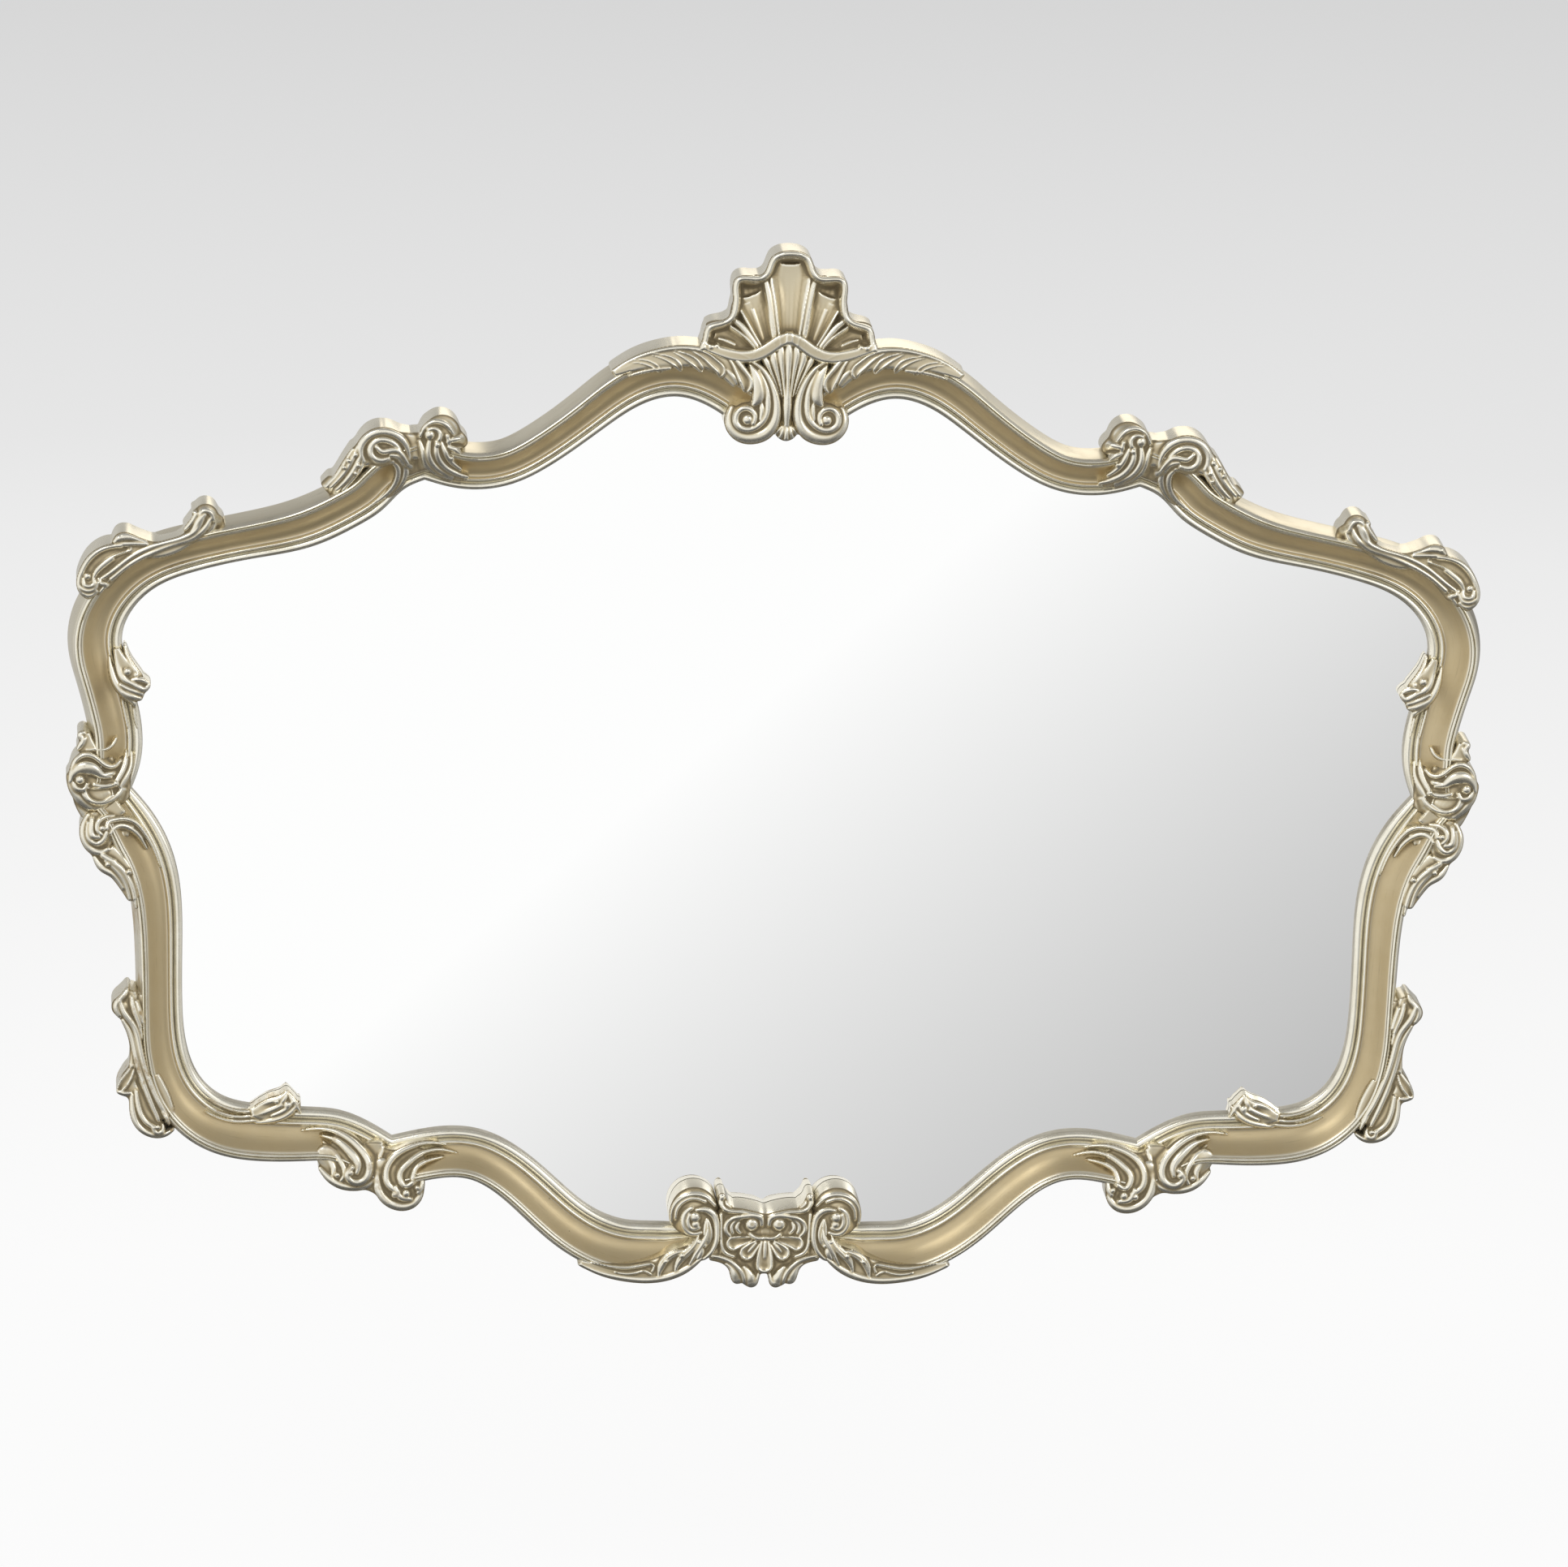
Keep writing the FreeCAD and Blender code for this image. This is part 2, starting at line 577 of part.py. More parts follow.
def with_mirrors(solids):
    """Some solids of the right half, and then their mirror images."""
    return solids + [solid.mirror(origin, middle_plane) for solid in solids]


def save(node, shape):
    """Write one node, moved so that the hanging line is the origin."""
    moved = shape.copy()
    moved.translate(Vector(0, 0, -hang_height))
    moved.exportStep(os.path.join("parts", node + ".step"))
    print(node, len(moved.Solids), "solids", round(moved.Volume), "mm3", moved.isValid())


def save_pair(node, shape):
    """Write a right-hand piece and its mirror image."""
    save(node + "_right", shape)
    save(node + "_left", shape.mirror(origin, middle_plane))


# The four paths of the right half, in order round the glass, and the mitres at their ends
curves = {
    "top": path_curve(top_path_shares), "shoulder": path_curve(shoulder_path_shares),
    "lower": path_curve(lower_path_shares), "bottom": path_curve(bottom_path_shares)}
upper_mitre = mitre_between(curves["top"], curves["shoulder"])
side_mitre = mitre_between(curves["shoulder"], curves["lower"])
lower_mitre = mitre_between(curves["lower"], curves["bottom"])
mitres = {
    "top": (None, upper_mitre), "shoulder": (upper_mitre, side_mitre),
    "lower": (side_mitre, lower_mitre), "bottom": (lower_mitre, None)}

# The moulding, the bridges that the carvings sit on, and the space kept clear for glass and board
rails = {name: cut_rail(name) for name in curves}
seats = {name: cut_rail(name, gap=glue_gap, seat=True) for name in curves}
keep_out = plate(frame_line(rebate_width), -overrun, rebate_depth + glass_clearance)

# The carvings, face heights first
leaf_face = rail_thickness + leaf_proud
inner_face = rail_thickness * knee_share
carvings = {
    "crest_scroll": side_carving(
        crest_scroll_shares, crest_anchor_shares, leaf_face, ["top"], crest_volute_shares),
    "crest_leaf": side_carving(
        crest_leaf_shares, crest_leaf_anchor_shares, leaf_face, ["top"]),
    "upper_clasp": side_carving(
        upper_clasp_shares, upper_cusp_anchor_shares, leaf_face, ["top", "shoulder"],
        upper_volute_shares),
    "shoulder_leaf": side_carving(
        shoulder_leaf_shares, shoulder_anchor_shares, leaf_face, ["shoulder"],
        shoulder_volute_shares),
    "side_leaf": side_carving(
        side_leaf_shares, side_leaf_anchor_shares, inner_face, ["shoulder"]),
    "side_volute": side_carving(
        side_volute_shares, waist_anchor_shares, leaf_face, ["shoulder", "lower"],
        side_volute_eye_shares),
    "side_scroll": side_carving(
        side_scroll_shares, side_scroll_anchor_shares, leaf_face, ["lower"],
        side_scroll_eye_shares),
    "lower_leaf": side_carving(
        lower_leaf_shares, lower_anchor_shares, leaf_face, ["lower"], lower_volute_shares),
    "sill_leaf": side_carving(
        sill_leaf_shares, sill_anchor_shares, inner_face, ["lower"]),
    "bottom_clasp": side_carving(
        bottom_clasp_shares, bottom_cusp_anchor_shares, leaf_face, ["lower", "bottom"],
        bottom_volute_shares),
    "bottom_scroll": side_carving(
        bottom_scroll_shares, bottom_anchor_shares, leaf_face, ["bottom"],
        bottom_scroll_eye_shares),
    "bottom_leaf": side_carving(
        bottom_leaf_shares, bottom_leaf_anchor_shares, leaf_face, ["bottom"])}
for leaf, scroll in (("crest_leaf", "crest_scroll"), ("bottom_leaf", "bottom_scroll")):
    carvings[leaf] = largest(carvings[leaf].cut(carvings[scroll]))
palmette_outline = both_halves(palmette_shares, crest_anchor_shares)
palmette_block = tapered(palmette_outline, 0, leaf_face * knee_share, leaf_face, body_taper_share)
palmette = fitted(palmette_block, ["top"])
crest_mates = with_mirrors([carvings["crest_scroll"], carvings["crest_leaf"]])
shell = fitted(crest_shell(), ["top"], crest_mates + [palmette])
bottom_mates = with_mirrors([carvings["bottom_scroll"], carvings["bottom_leaf"]])
plaque = fitted(cartouche(), ["bottom"], bottom_mates)

# The hardware on the back
eye_inner = ring_wire / 2 + eye_play
eye_outer = eye_inner + strap_thickness
eye_axis = Vector(0, frame_back + eye_outer, hang_height)
hanger_x = hanger_share * half_width
strap_screws = [screw(spot, strap_thickness) for spot in strap_screw_places()]
button_stack = button_play + button_thickness + screw_play
buttons = {}
button_screws = []
for name, run_share in button_run_shares:
    pivot, outward = back_place(curves[name], run_share, button_inset)
    buttons[name] = turn_button(pivot, outward)
    button_screws.append(screw(pivot, button_stack))
    print("turn button pivot", name, round(pivot.x, 3), round(pivot.z - hang_height, 3))
bumpers = []
for name, run_share in bumper_run_shares:
    spot, _ = back_place(curves[name], run_share, bumper_inset)
    bumpers.append(plate(disc_points(spot, bumper_radius, round_sides), -wall_gap, 0))
    print("bumper", name, round(spot.x, 3), round(spot.z - hang_height, 3))
print("hanger eye", round(hanger_x, 3), round(eye_axis.y, 3), round(eye_axis.z - hang_height, 3))

os.makedirs("parts", exist_ok=True)
for name, solid in rails.items():
    save_pair(name + "_rail", solid)
for name, solid in carvings.items():
    save_pair(name, solid)
save("crest_shell", shell)
save("crest_palmette", palmette)
save("bottom_cartouche", plaque)
save("mirror_glass", plate(frame_line(glass_overlap), rebate_depth - glass_thickness, rebate_depth))
save("backing_board", plate(frame_line(board_overlap), rebate_play, rebate_play + board_thickness))
save_pair("hanger_strap", hanger_strap())
save_pair("hanger_ring", hanger_ring())
for name, solid in buttons.items():
    save_pair(name + "_turn_button", solid)
save("hanger_screws", Part.makeCompound(with_mirrors(strap_screws)))
save("button_screws", Part.makeCompound(with_mirrors(button_screws)))
save("wall_bumpers", Part.makeCompound(with_mirrors(bumpers)))
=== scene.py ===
"""Rococo wall mirror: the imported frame, dressed as its photograph shows it.

Metres, x to the right, z up, the room on the -Y side. The carvings are drawn in millimetres on a sheet
seen from the camera's height, with x outwards from the middle of the mirror, and mirrored for the left.
"""
import json
from math import atan2, cos, hypot, pi, radians, sin, sqrt

import bmesh
import bpy
import numpy as np
from mathutils import Matrix, Vector


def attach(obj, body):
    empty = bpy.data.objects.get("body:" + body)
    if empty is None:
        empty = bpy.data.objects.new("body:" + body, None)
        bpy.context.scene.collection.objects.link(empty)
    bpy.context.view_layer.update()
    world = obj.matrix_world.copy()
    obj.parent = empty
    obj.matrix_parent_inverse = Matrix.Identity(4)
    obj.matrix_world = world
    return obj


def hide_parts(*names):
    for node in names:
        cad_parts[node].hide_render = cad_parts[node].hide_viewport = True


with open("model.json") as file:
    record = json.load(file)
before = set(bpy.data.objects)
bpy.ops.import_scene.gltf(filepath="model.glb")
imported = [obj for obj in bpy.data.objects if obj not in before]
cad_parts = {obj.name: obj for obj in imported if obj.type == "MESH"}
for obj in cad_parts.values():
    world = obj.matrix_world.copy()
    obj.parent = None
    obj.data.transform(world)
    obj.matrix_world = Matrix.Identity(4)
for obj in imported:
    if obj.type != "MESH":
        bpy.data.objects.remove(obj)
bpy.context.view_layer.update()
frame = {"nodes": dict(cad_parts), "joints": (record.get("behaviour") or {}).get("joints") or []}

nodes = frame["nodes"]
MM = 0.001
WALL_GAP = 6.0                      # mm, wall to the back of the frame
HALF_WIDTH, HALF_HEIGHT, HANG_DROP = 608.0, 459.5, 95.0     # mm, what the rail paths are shares of
RAIL_WIDTH = 42.0                                           # mm, what the rails' widths are shares of
SIDES = ("right", "left")


# Shader and node helpers

class Socket:
    """A node's output that Python's own operators work on."""

    def __init__(self, graph, socket):
        self.graph, self.socket = graph, socket

    def math(self, kind, *others, clamp=False):
        return self.graph.add("ShaderNodeMath", {"operation": kind, "use_clamp": clamp},
                              {i: value for i, value in enumerate((self, *others))})[0]

    def __add__(self, other):
        return self.math("ADD", other)

    def __sub__(self, other):
        return self.math("SUBTRACT", other)

    def __mul__(self, other):
        return self.math("MULTIPLY", other)

    def __truediv__(self, other):
        return self.math("DIVIDE", other)

    def __pow__(self, other):
        return self.math("POWER", other)

    def __radd__(self, other):
        return self + other

    def __rmul__(self, other):
        return self * other

    def __rsub__(self, other):
        return self * -1.0 + other

    def clamp(self):
        return self.math("ADD", 0.0, clamp=True)

    def ramp(self, low, high, to_low=0.0, to_high=1.0, kind="SMOOTHSTEP"):
        """This value carried from low..high to to_low..to_high and held there beyond."""
        return self.graph.add("ShaderNodeMapRange", {"interpolation_type": kind, "clamp": True},
                              {"Value": self, "From Min": low, "From Max": high,
                               "To Min": to_low, "To Max": to_high})["Result"]


class Graph:
    """A node tree that nodes are added to by type, settings and socket values."""

    def __init__(self, tree):
        self.tree = tree
        tree.nodes.clear()

    def add(self, kind, settings=(), sockets=()):
        node = self.tree.nodes.new(kind)
        for name, value in dict(settings).items():
            setattr(node, name, value)
        for name, value in dict(sockets).items():
            if isinstance(value, Socket):
                self.tree.links.new(value.socket, node.inputs[name])
            else:
                node.inputs[name].default_value = value
        return Outputs(self, node)

    def mix(self, share, low, high):
        """A colour between low and high."""
        return self.add("ShaderNodeMix", {"data_type": "RGBA"},
                        {0: share, 6: colour(low), 7: colour(high)})[2]

    def noise(self, where, scale, detail=3.0, roughness=0.55):
        return self.add("ShaderNodeTexNoise", {}, {"Vector": where, "Scale": scale, "Detail": detail,
                                                   "Roughness": roughness})[0]

    def vector(self, kind, first, second=(0.0, 0.0, 0.0)):
        return self.add("ShaderNodeVectorMath", {"operation": kind}, {0: first, 1: second})[0]

    def attribute(self, name):
        return self.add("ShaderNodeAttribute", {"attribute_type": "GEOMETRY", "attribute_name": name})["Fac"]

    def apart(self, vector):
        split = self.add("ShaderNodeSeparateXYZ", {}, {0: vector})
        return split[0], split[1], split[2]


class Outputs:
    """A node's outputs by name or number."""

    def __init__(self, graph, node):
        self.graph, self.node = graph, node

    def __getitem__(self, name):
        return Socket(self.graph, self.node.outputs[name])


def colour(value):
    """A colour as a socket takes it."""
    return value if isinstance(value, Socket) or len(value) == 4 else (*value, 1.0)


def material(name, build):
    """A new material: build(graph, object coordinates) gives its sockets and, as bump, its relief."""
    made = bpy.data.materials.new(name)
    made.use_nodes = True
    graph = Graph(made.node_tree)
    sockets = build(graph, graph.add("ShaderNodeTexCoord")["Object"])
    bump = sockets.pop("bump", None)
    if bump is not None:
        height, strength, distance = bump
        sockets["Normal"] = graph.add("ShaderNodeBump", {}, {"Strength": strength, "Distance": distance,
                                                             "Height": height})[0]
    surface = graph.add("ShaderNodeBsdfPrincipled", {}, sockets)[0]
    graph.add("ShaderNodeOutputMaterial", {}, {"Surface": surface})
    return made


# Camera, floor and light

VIEW_TURN, VIEW_RISE, VIEW_ROLL = -4.7, 14.0, 1.55          # degrees
VIEW_TARGET, VIEW_DISTANCE = (0.009, 0.0, -0.1106), 8.0     # metres
LENS, FILM_WIDTH = 213.2, 36.0                              # mm
FLOOR_HEIGHT, FLOOR_REACH = -0.9, 40                        # metres
LAMP_TARGET = (0, 0, -0.1)
WHITE = (1.0, 1.0, 1.0, 1.0)


def studio_camera():
    """The photograph's view: from a little to the left, 14 degrees up and a touch rolled."""
    turn, rise, roll = radians(VIEW_TURN), radians(VIEW_RISE), radians(VIEW_ROLL)
    back = Vector((sin(turn) * cos(rise), -cos(turn) * cos(rise), sin(rise)))
    right = Vector((cos(turn), sin(turn), 0.0))
    up = back.cross(right)
    rolled = right * cos(roll) + up * sin(roll), up * cos(roll) - right * sin(roll)
    camera = bpy.data.objects.new("studio_camera", bpy.data.cameras.new("studio_camera"))
    place = Matrix((*(axis.to_4d() for axis in (*rolled, back)), (0, 0, 0, 1))).transposed()
    for row in range(3):
        place[3][row] = 0.0
    place.translation = Vector(VIEW_TARGET) + back * VIEW_DISTANCE
    camera.matrix_world = place
    camera.data.lens, camera.data.sensor_width, camera.data.clip_end = LENS, FILM_WIDTH, 200.0
    bpy.context.collection.objects.link(camera)
    bpy.context.scene.camera = camera


def studio_world():
    """Pale behind the mirror, and in what metal and glass show one broad soft light from the upper left."""
    world = bpy.data.worlds.new("studio")
    bpy.context.scene.world = world
    world.use_nodes = True
    graph = Graph(world.node_tree)
    across, depth, rise = graph.apart(graph.add("ShaderNodeTexCoord")["Generated"])
    sheen = 0.961 - (across - 0.0795) * 2.35 + (rise + 0.245) * 2.9
    sheen = sheen.math("MAXIMUM", 0.60).math("MINIMUM", 1.0) ** 2.2
    sheen = sheen.math("MAXIMUM", across.ramp(0.30, 0.70, 0.0, 0.64))    # a white screen far to the right
    below = rise.ramp(-0.75, -0.30, 0.35, 1.0) * rise.ramp(0.25, 0.85, 1.0, 0.36)
    below = below * depth.ramp(0.0, 0.9, 1.0, 0.58)
    path = graph.add("ShaderNodeLightPath")
    glossy = path["Is Glossy Ray"].math("MAXIMUM", path["Is Transmission Ray"])
    seen = rise.ramp(-0.12, 0.35, 0.62, 0.88)
    level = seen * path["Is Camera Ray"] + sheen * below * glossy
    rest = 1.0 - path["Is Camera Ray"].math("MAXIMUM", glossy)
    level = level + rest * rise.ramp(-0.4, 0.7, 0.42, 0.72)
    light = graph.add("ShaderNodeBackground", {}, {"Color": WHITE, "Strength": level})[0]
    graph.add("ShaderNodeOutputWorld", {}, {"Surface": light})


def studio_floor():
    """A wide pale floor below the hanging mirror: white nearby and light grey far away."""
    mesh = bpy.data.meshes.new("studio_floor")
    corners = [(x * FLOOR_REACH, y * FLOOR_REACH, FLOOR_HEIGHT)
               for x, y in ((-1, -1), (1, -1), (1, 1), (-1, 1))]
    mesh.from_pydata(corners, [], [(0, 1, 2, 3)])
    floor = bpy.data.objects.new("studio_floor", mesh)
    bpy.context.collection.objects.link(floor)
    made = bpy.data.materials.new("studio_floor")
    made.use_nodes = True
    graph = Graph(made.node_tree)
    x, y, _ = graph.apart(graph.add("ShaderNodeTexCoord")["Object"])
    away = (x * x + y * y).math("SQRT")
    near = away.ramp(1.3, 5.2, 1.0, 0.835, "LINEAR")
    far = away.ramp(4.6, 11.0, 0.0, 0.21, "LINEAR")
    glow = graph.add("ShaderNodeEmission", {}, {"Color": WHITE, "Strength": near - far})[0]
    matt = graph.add("ShaderNodeBsdfDiffuse", {}, {"Color": (0.86, 0.86, 0.86, 1.0)})[0]
    path = graph.add("ShaderNodeLightPath")
    share = path["Is Camera Ray"].math("MAXIMUM", path["Is Transmission Ray"]) * 0.88
    both = graph.add("ShaderNodeMixShader", {}, {0: share, 1: matt, 2: glow})[0]
    graph.add("ShaderNodeOutputMaterial", {}, {"Surface": both})
    mesh.materials.append(made)
    floor.visible_glossy = False


def softbox(name, place, size, power, shade=(1.0, 1.0, 1.0)):
    """A flat lamp turned to the middle of the mirror, itself out of the camera's sight."""
    lamp = bpy.data.lights.new(name, "AREA")
    lamp.shape, lamp.size, lamp.size_y = "RECTANGLE", *size
    lamp.energy, lamp.color = power, shade
    holder = bpy.data.objects.new(name, lamp)
    holder.location = place
    holder.rotation_euler = (Vector(LAMP_TARGET) - Vector(place)).to_track_quat("-Z", "Y").to_euler()
    holder.visible_camera = False
    bpy.context.collection.objects.link(holder)


bpy.context.scene.view_settings.view_transform = "Standard"
studio_camera()
studio_world()
studio_floor()
softbox("key_light", (-2.4, -2.6, 3.2), (2.4, 1.6), 45.0)
softbox("fill_light", (2.8, -3.0, 1.2), (2.0, 2.0), 22.0)
softbox("back_light", (1.0, 3.2, 2.2), (2.5, 2.0), 17.0, (1.0, 0.93, 0.80))


# Materials

def specks(graph, where, cell, size, share):
    """Scattered round spots: one cell in a share of them has a spot of that size, all in millimetres."""
    scale = 1.0 / (cell * MM)
    spots = graph.add("ShaderNodeTexVoronoi", {"feature": "F1"}, {"Vector": where, "Scale": scale})
    lot, _, width = graph.apart(spots["Color"])
    near = (spots["Distance"] * cell / (width * size + 0.3 * size)).ramp(0.6, 1.0, 1.0, 0.0)
    return near * lot.ramp(share - 0.01, share, 1.0, 0.0)


def leaf_sockets(graph, where, bright, glaze, hollow, brown, grain, seed=0.0):
    """Champagne silver leaf over a carved ground.

    bright is the burnished share, glaze the warm tinted share, hollow the dirt and painted shade in the
    recesses and brown the worn share where the yellow ground shows; grain is a fine pattern that follows the
    piece.
    """
    cloud = graph.noise(where, 9.0 + seed, 4.0)
    patch = graph.noise(where, 38.0 + seed, 5.0, 0.62)
    tint = graph.mix(cloud.ramp(0.35, 0.65), (0.66, 0.585, 0.415), (0.75, 0.68, 0.505))
    tint = graph.mix(glaze * patch.ramp(0.25, 0.75, 0.86, 1.0), tint, (0.57, 0.462, 0.275))
    tint = graph.mix(bright * patch.ramp(0.30, 0.62, 0.70, 1.0), tint, (0.92, 0.885, 0.765))
    worn = brown * patch.ramp(0.44, 0.62)
    tint = graph.mix(worn, tint, (0.40, 0.275, 0.105))
    # dark brown in the recesses: dirt, and shade painted into the creases and cuts
    dirt_and_shade = hollow * patch.ramp(0.2, 0.7, 0.80, 1.0)
    tint = graph.mix(dirt_and_shade * 0.92, tint, (0.185, 0.150, 0.088))
    left = graph.apart(where)[0].ramp(-0.45, 0.1, 0.30, 0.09)
    dots = specks(graph, where, 17.0, 1.2, left) * glaze.ramp(0.1, 0.6, 0.25, 1.0)
    tint = graph.mix(dots * 0.85, tint, (0.085, 0.055, 0.028))
    fine = graph.noise(where, 900.0, 2.0)
    rough = 0.34 + glaze * 0.09 - bright * 0.09 + dirt_and_shade * 0.26 + worn * 0.18 + dots * 0.2
    return {"Base Color": tint,
            "Metallic": (0.96 - dirt_and_shade * 0.45 - worn * 0.6 - dots * 0.6 - glaze * 0.12).clamp(),
            "Roughness": (rough + (patch - 0.5) * 0.16 + (fine - 0.5) * 0.05).clamp(),
            "bump": (grain * 0.30 + patch * 0.4 + fine * 0.03 - dots * 0.6, 0.20, 0.0004)}


def moulding_surface(graph, where):
    """The rails: bright beads and torus, a warm glazed cove and dark lines of painted shade in the grooves
    between them.
    """
    u, along = graph.attribute("across"), graph.attribute("along")
    cove = u.ramp(0.292, 0.335) * u.ramp(0.70, 0.75, 1.0, 0.0)
    # dark lines of painted shade down the grooves of the section, at these shares of the width
    lines = 0.0
    for at, half, strength in ((0.184, 0.018, 0.75), (0.302, 0.018, 0.5), (0.746, 0.016, 0.55),
                               (0.811, 0.012, 0.7), (0.878, 0.016, 0.55), (0.0, 0.020, 0.8)):
        lines = (u - at).math("ABSOLUTE").ramp(0.0, half, strength, 0.0) + lines
    flare = u.ramp(0.875, 0.91)
    bright = (1.0 - cove) * (1.0 - flare * 0.55)
    strokes = graph.add("ShaderNodeCombineXYZ", {}, {0: along * 30.0, 1: u * 34.0, 2: 0.0})[0]
    grain = graph.noise(strokes, 1.0, 4.0, 0.65)
    x, _, z = graph.apart(where)
    low_left = z.ramp(-0.05, -0.25) * x.ramp(-0.15, -0.45) * 0.75 + z.ramp(-0.25, -0.45) * 0.35 + 0.12
    brown = (flare + u.ramp(0.80, 0.87) * 0.6).clamp() * low_left.clamp() * grain.ramp(0.35, 0.6)
    # painted shade in the grooves, and dirt scattered along the grain
    hollow = (lines.clamp() * grain.ramp(0.2, 0.6, 0.75, 1.0) + grain.ramp(0.56, 0.72, 0.0, 0.22)).clamp()
    return leaf_sockets(graph, where, bright, cove, hollow, brown, grain)


def carving_surface(graph, where):
    """The carvings: burnished on every edge and roll, with dirt and painted shade in the cuts."""
    cut, wide = graph.attribute("cut"), graph.attribute("hollow")
    edge = cut.ramp(0.52, 0.36)
    deep = wide.ramp(0.50, 0.80)
    # dirt and painted shade in the cuts, and more where a cut lies in a broad hollow
    hollow = (cut.ramp(0.56, 0.86) * 0.75 + deep * cut.ramp(0.45, 0.62) * 0.55).clamp()
    grain = graph.noise(where, 160.0, 4.0, 0.6)
    x, _, z = graph.apart(where)
    low_left = z.ramp(-0.15, -0.30) * x.ramp(-0.2, -0.5) * 0.8 + 0.10
    brown = low_left * edge * grain.ramp(0.45, 0.62)
    glaze = (0.30 + deep * 0.75 - edge * 0.5).clamp()
    return leaf_sockets(graph, where, edge * (1.0 - deep * 0.6), glaze, hollow, brown, grain, 1.5)


def glass_surface(graph, where):
    """Plain silvered glass: a clean mirror in front and a dull green cut edge."""
    facing = graph.apart(graph.add("ShaderNodeNewGeometry")["Normal"])[1].math("ABSOLUTE").ramp(0.5, 0.9)
    haze = graph.noise(where, 3.0, 3.0).ramp(0.35, 0.75, 0.0, 0.004)
    tint = graph.mix(facing, (0.16, 0.27, 0.21), (0.985, 0.988, 0.984))
    return {"Base Color": tint, "Metallic": facing.ramp(0.0, 1.0, 0.2, 1.0),
            "Roughness": haze * facing + (1.0 - facing) * 0.25}


MESH_PITCH = 2100.0     # radians for each metre of the board's pressed mesh


def board_surface(graph, where):
    """Brown hardboard: a matted fibre with a fine mesh pressed into it."""
    fibre = graph.noise(graph.vector("MULTIPLY", where, (1.0, 1.0, 0.35)), 420.0, 5.0, 0.7)
    cloud = graph.noise(where, 7.0, 4.0)
    x, _, z = graph.apart(where)
    mesh = (x * MESH_PITCH).math("SINE") * (z * MESH_PITCH).math("SINE")
    tint = graph.mix(fibre.ramp(0.3, 0.7), (0.125, 0.072, 0.038), (0.235, 0.148, 0.082))
    tint = graph.mix(cloud.ramp(0.4, 0.7, 0.0, 0.35), tint, (0.30, 0.21, 0.13))
    return {"Base Color": tint, "Roughness": fibre.ramp(0.2, 0.8, 0.62, 0.82),
            "bump": (fibre * 0.7 + mesh * 0.25, 0.5, 0.0005)}


def steel_surface(graph, where):
    """Plated steel with drawn lines, dulled in patches."""
    drawn = graph.noise(graph.vector("MULTIPLY", where, (40.0, 8.0, 900.0)), 1.0, 3.0)
    cloud = graph.noise(where, 60.0, 4.0)
    tint = graph.mix(cloud.ramp(0.4, 0.7), (0.66, 0.64, 0.58), (0.44, 0.42, 0.37))
    tint = graph.mix(graph.noise(where, 210.0, 4.0).ramp(0.60, 0.74, 0.0, 0.7), tint, (0.25, 0.20, 0.14))
    return {"Base Color": tint, "Metallic": 0.95,
            "Roughness": (0.30 + drawn * 0.14 + cloud * 0.1).clamp(),
            "bump": (drawn, 0.15, 0.0002)}


def rubber_surface(graph, where):
    """Clouded grey rubber."""
    grain = graph.noise(where, 700.0, 3.0)
    cloud = graph.noise(where, 90.0, 3.0)
    tint = graph.mix(cloud.ramp(0.3, 0.7), (0.040, 0.038, 0.036), (0.085, 0.082, 0.078))
    return {"Base Color": tint, "Roughness": grain.ramp(0.2, 0.8, 0.62, 0.78), "bump": (grain, 0.3, 0.0003)}


def back_surface(graph, where):
    """The unfinished back of the wood: pale grain with a wash of brown stain."""
    rings = graph.noise(graph.vector("MULTIPLY", where, (1.0, 1.0, 0.09)), 160.0, 5.0, 0.6)
    cloud = graph.noise(where, 6.0, 4.0)
    tint = graph.mix(rings.ramp(0.3, 0.7), (0.255, 0.165, 0.090), (0.42, 0.30, 0.18))
    tint = graph.mix(cloud.ramp(0.35, 0.7, 0.0, 0.5), tint, (0.17, 0.10, 0.055))
    return {"Base Color": tint, "Roughness": rings.ramp(0.2, 0.8, 0.60, 0.78), "bump": (rings, 0.35, 0.0006)}


moulding = material("silver_leaf_moulding", moulding_surface)
carving = material("silver_leaf_carving", carving_surface)
glass = material("mirror_glass", glass_surface)
board = material("backing_board", board_surface)
steel = material("plated_steel", steel_surface)
rubber = material("rubber", rubber_surface)
bare_back = material("bare_wood_back", back_surface)


def finish_node(name, made):
    """A carried-over piece in that material."""
    piece = nodes[name]
    piece.data.materials.clear()
    piece.data.materials.append(made)


finish_node("mirror_glass", glass)
finish_node("backing_board", board)
finish_node("wall_bumpers", rubber)


# Rails

